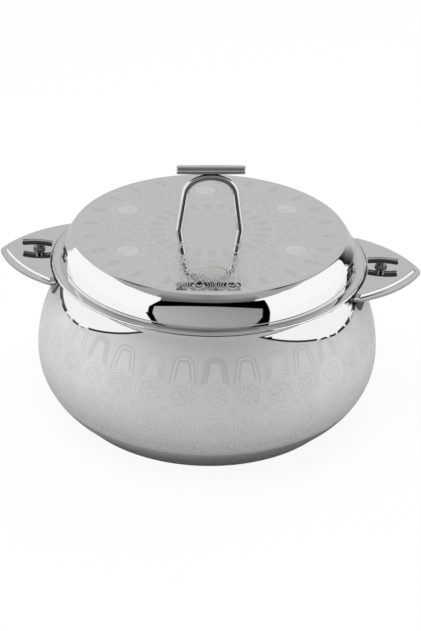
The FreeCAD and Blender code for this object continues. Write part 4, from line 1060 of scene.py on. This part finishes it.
def makeRivets(side, turn):
    across = (pot["rimRadius"] - rivet["inset"]) * turn
    top, bottom = wing["under"] + wing["sheet"], wing["under"] - rivet["bracket"]
    rows = ((top + rivet["headHeight"] / 2, rivet["headHeight"], rivet["head"], rivet["dome"]),
            ((bottom + top) / 2, wing["sheet"] + rivet["bracket"], rivet["shank"], 0.0),
            (bottom - rivet["tail"] / 2, rivet["tail"], rivet["head"], 0.0))
    whole = bmesh.new()
    for height, depth, radius, dome in rows:
        row = chainObject(f"{side}RivetRow", [(across * mm, rivet["spread"] * way * mm, height * mm)
                                              for way in (-1, 1)])
        grow(row, "fasteners", {"Sides": 24, "Radius": radius * mm, "Height": depth * mm,
                                "Dome": dome * mm, "Material": finish["plain"]}, 40.0)
        whole.from_mesh(row.data)
        bpy.data.objects.remove(row)
    mesh = bpy.data.meshes.new(f"{side}Rivets")
    intoMesh(whole, mesh)
    mesh.materials.append(finish["plain"])
    piece = placed(f"{side}Rivets", mesh)
    finishMesh(piece, 40.0)
    handOver(piece, "pot_body", "plain_steel", f"{side}_handle_rivets")


for side, turn in sideTurn.items():
    makeRivets(side, turn)
print("rivets made")

# CAD nodes that stay as they are get their finish
keptFinish = {"hoop_": "plain", "latch_spring": "plain", "latch_washer": "plain",
              "latch_screw": "plain", "pivot_bush": "plain", "insulation": "foam"}
for name, node in cadNodes.items():
    for part, finishName in keptFinish.items():
        if part in name and not node.hide_render:
            node.data.materials.clear()
            node.data.materials.append(finish[finishName])
print("kept CAD nodes finished")


# Floor, studio and camera. Azimuths are in degrees from the camera's side, positive to the right.
view = {"azimuth": -86.3, "elevation": 29.17, "distance": 1284.0, "right": 2.5, "up": -73.9,
        "roll": 1.37, "focal": 1495.4, "imageHeight": 631.0, "sensor": 36.0}
toCamera = math.radians(view["azimuth"])
nearSide = Vector((math.cos(toCamera), math.sin(toCamera), 0.0))
rightSide = Vector((-math.sin(toCamera), math.cos(toCamera), 0.0))

studio = {"white": 1.13, "back": 0.60, "front": 0.26, "dark": 0.07, "panel": 0.44,
          "panelFade": 0.0022, "edge": 43.5, "wedge": 38.5, "leftEnd": -132.5, "rightEnd": 125.5,
          "panelLeft": -39.8, "panelRight": 39.4, "postRight": 45.8, "backStart": (134.0, 18.0),
          "bandLow": (28.0, 0.0085), "bandTop": (35.5, 0.0052, 0.0025), "ceiling": 33.5,
          "darkSides": (0.26, 0.36, 0.12), "darkStart": (50.0, 8.0), "frontRise": (0.0036, 0.16),
          "edgeSlant": (12.0, 0.33), "openBack": (128.0, 4.0), "allHigh": (55.0, 4.0)}
floorLook = {"size": 9.0, "paint": 0.93, "glow": 0.92, "white": 1.10, "start": (0.37, 0.04),
             "nearDim": 0.35, "panelStart": (0.44, 0.04), "soft": 0.02, "leftWhite": (1.016, 0.129),
             "rightWhite": (1.018, 0.068), "leftPanel": (0.83, 0.10), "rightPanel": (0.848, 0.125)}
lampAim = Vector((0, 0, 0.08))
lamps = {"overheadLamp": ((-0.5, -0.3, 1.9), 1.6, 17.0), "backLamp": ((0.7, 0.9, 1.6), 1.4, 10.2)}


def bearings(spot):
    # how far across the view, how far towards the camera, and the azimuth
    across, near = (spot.bench.node("ShaderNodeVectorMath", {0: spot, 1: tuple(way)}, "Value",
                                    operation="DOT_PRODUCT") for way in (rightSide, nearSide))
    return across, near, across.angle(near) * degrees


def backTone(azimuth, soft):
    rightRise = azimuth.over(*studio["backStart"])
    return (rightRise * rightRise + azimuth.under(studio["leftEnd"], soft)) * studio["back"]


def makeFloor():
    mesh = bpy.data.meshes.new("floor")
    mesh.from_pydata([(x * floorLook["size"], y * floorLook["size"], 0)
                      for x, y in ((-1, -1), (1, -1), (1, 1), (-1, 1))], [], [(0, 1, 2, 3)])
    material, spot = newMaterial("floorPaint")
    material.cycles.emission_sampling = "NONE"
    bench = spot.bench
    across, near, azimuth = bearings(spot)
    far = across.hypot(near).over(*floorLook["start"])
    # what the metal sees of the floor: dim close by, then the panel, black posts and white sides
    leftWhite, rightWhite, leftPanel, rightPanel = (
        across + near * (slope * way) - shift * way for way, (slope, shift) in (
            (1, floorLook["leftWhite"]), (-1, floorLook["rightWhite"]),
            (1, floorLook["leftPanel"]), (-1, floorLook["rightPanel"])))
    soft = floorLook["soft"]
    white = leftWhite.under(0.0, soft).most(rightWhite.over(0.0, soft))
    side = white * azimuth.inside(studio["leftEnd"], studio["rightEnd"], 3.0) * floorLook["white"]
    panel = leftPanel.over(0.0, soft) * rightPanel.under(0.0, soft) \
        * near.over(*floorLook["panelStart"]) * (studio["panel"] - azimuth * studio["panelFade"])
    tone = (side + panel + backTone(azimuth, 3.0)) * far
    paint = bench.node("ShaderNodeBsdfDiffuse", {"Color": grey(floorLook["paint"])})
    glow = bench.node("ShaderNodeEmission", {"Color": grey(1.0), "Strength": 1.0})
    flood = bench.node("ShaderNodeEmission", {"Strength": tone})
    seen = bench.node("ShaderNodeLightPath", output="Is Camera Ray") * floorLook["glow"]
    mirrored = bench.node("ShaderNodeLightPath", output="Is Glossy Ray") \
        * (far * (1.0 - floorLook["nearDim"]) + floorLook["nearDim"])
    plain = bench.node("ShaderNodeMixShader", {0: seen, 1: paint, 2: glow})
    mixed = bench.node("ShaderNodeMixShader", {0: mirrored, 1: plain, 2: flood})
    bench.node("ShaderNodeOutputMaterial", {"Surface": mixed})
    mesh.materials.append(material)
    placed("floor", mesh)


def makeStudio():
    world = bpy.data.worlds.new("studio")
    bpy.context.scene.world = world
    world.use_nodes = True
    world.node_tree.nodes.clear()
    bench = Bench(world.node_tree)
    way = bench.node("ShaderNodeTexCoord", output="Generated")
    across, near, azimuth = bearings(way)
    wide, curve = abs(azimuth), azimuth * azimuth
    height = way.split()[2].arcsine() * degrees
    lowStart, lowDroop = studio["bandLow"]
    topStart, topDroop, rightLess = studio["bandTop"]
    bandLow = lowStart - curve * lowDroop
    bandTop = topStart - curve * (topDroop - across.over(0.0, 0.1) * rightLess)
    # high up: dim in front, light grey behind, dark to the sides
    frontward = near.over(0.0, 0.5)
    frontRise, frontMost = studio["frontRise"]
    frontTone = studio["front"] - studio["back"] + (wide * frontRise).least(frontMost)
    sky = studio["back"] + frontTone * frontward
    sideStart, sideShift, sideSoft = studio["darkSides"]
    darkSide = abs(across).over(frontward * sideShift + sideStart, sideSoft) \
        * height.over(*studio["darkStart"])
    sky = sky * (1.0 - darkSide) + darkSide * studio["dark"]
    sky = sky * (height.over(40.0, 12.0) * 0.6 + 0.4).most(wide.over(40.0, 8.0))
    # low down: grey panel in a black frame, white at both sides, grey behind
    rightLimit = height.least(14.0) * 0.1 + studio["panelRight"]
    panel = (studio["panel"] - azimuth * studio["panelFade"] - height * 0.0025) \
        * azimuth.inside(studio["panelLeft"], rightLimit, 0.6) * height.under(bandLow, 0.7)
    slantStart, slantRise = studio["edgeSlant"]
    slant = (height - slantStart).most(0.0) * slantRise
    onWedge = wide.over(studio["wedge"], 0.7)
    white = azimuth.under(slant - studio["edge"], 0.7).most(
        azimuth.over(studio["postRight"], 0.7), onWedge * height.over(bandTop, 0.7))
    sides = white * azimuth.inside(studio["leftEnd"], studio["rightEnd"], 1.2) * studio["white"]
    low = panel + sides + backTone(azimuth, 1.2)
    ceiling = bandTop + onWedge * (studio["ceiling"] - bandTop)
    isHigh = (height.over(ceiling, 0.8) * (1.0 - wide.over(*studio["openBack"]))).most(
        height.over(*studio["allHigh"]))
    # the camera itself sees plain white
    rays = bench.node("ShaderNodeLightPath", output="Is Camera Ray")
    tone = (sky * isHigh + low * (1.0 - isHigh)) * (1.0 - rays) + rays
    shade = bench.node("ShaderNodeBackground", {"Color": tone.asColour(), "Strength": 1.0})
    bench.node("ShaderNodeOutputWorld", {"Surface": shade})


def makeLamp(name, place, size, power):
    data = bpy.data.lights.new(name, "AREA")
    data.shape = "DISK"
    data.size = size
    data.energy = power
    lamp = placed(name, data)
    lamp.location = place
    lamp.rotation_euler = (lampAim - Vector(place)).to_track_quat("-Z", "Y").to_euler()
    lamp.visible_glossy = False


def makeCamera():
    elevation, roll = math.radians(view["elevation"]), math.radians(view["roll"])
    back = nearSide * math.cos(elevation) + Vector((0, 0, math.sin(elevation)))
    up = -nearSide * math.sin(elevation) + Vector((0, 0, math.cos(elevation)))
    spot = Vector((0, 0, lid["top"])) + rightSide * view["right"] + up * view["up"] \
        + back * view["distance"]
    camRight = rightSide * math.cos(roll) + up * math.sin(roll)
    camUp = up * math.cos(roll) - rightSide * math.sin(roll)
    data = bpy.data.cameras.new("photoCamera")
    data.sensor_width = view["sensor"]
    data.lens = view["focal"] / view["imageHeight"] * view["sensor"]
    data.clip_start, data.clip_end = 0.05, 40.0
    camera = placed("photoCamera", data)
    turn = Matrix((camRight, camUp, back)).transposed()
    camera.matrix_world = Matrix.Translation(spot * mm) @ turn.to_4x4()
    bpy.context.scene.camera = camera


makeFloor()
makeStudio()
for name, settings in lamps.items():
    makeLamp(name, *settings)
makeCamera()
bpy.context.scene.view_settings.view_transform = "Standard"
print("studio and camera set")
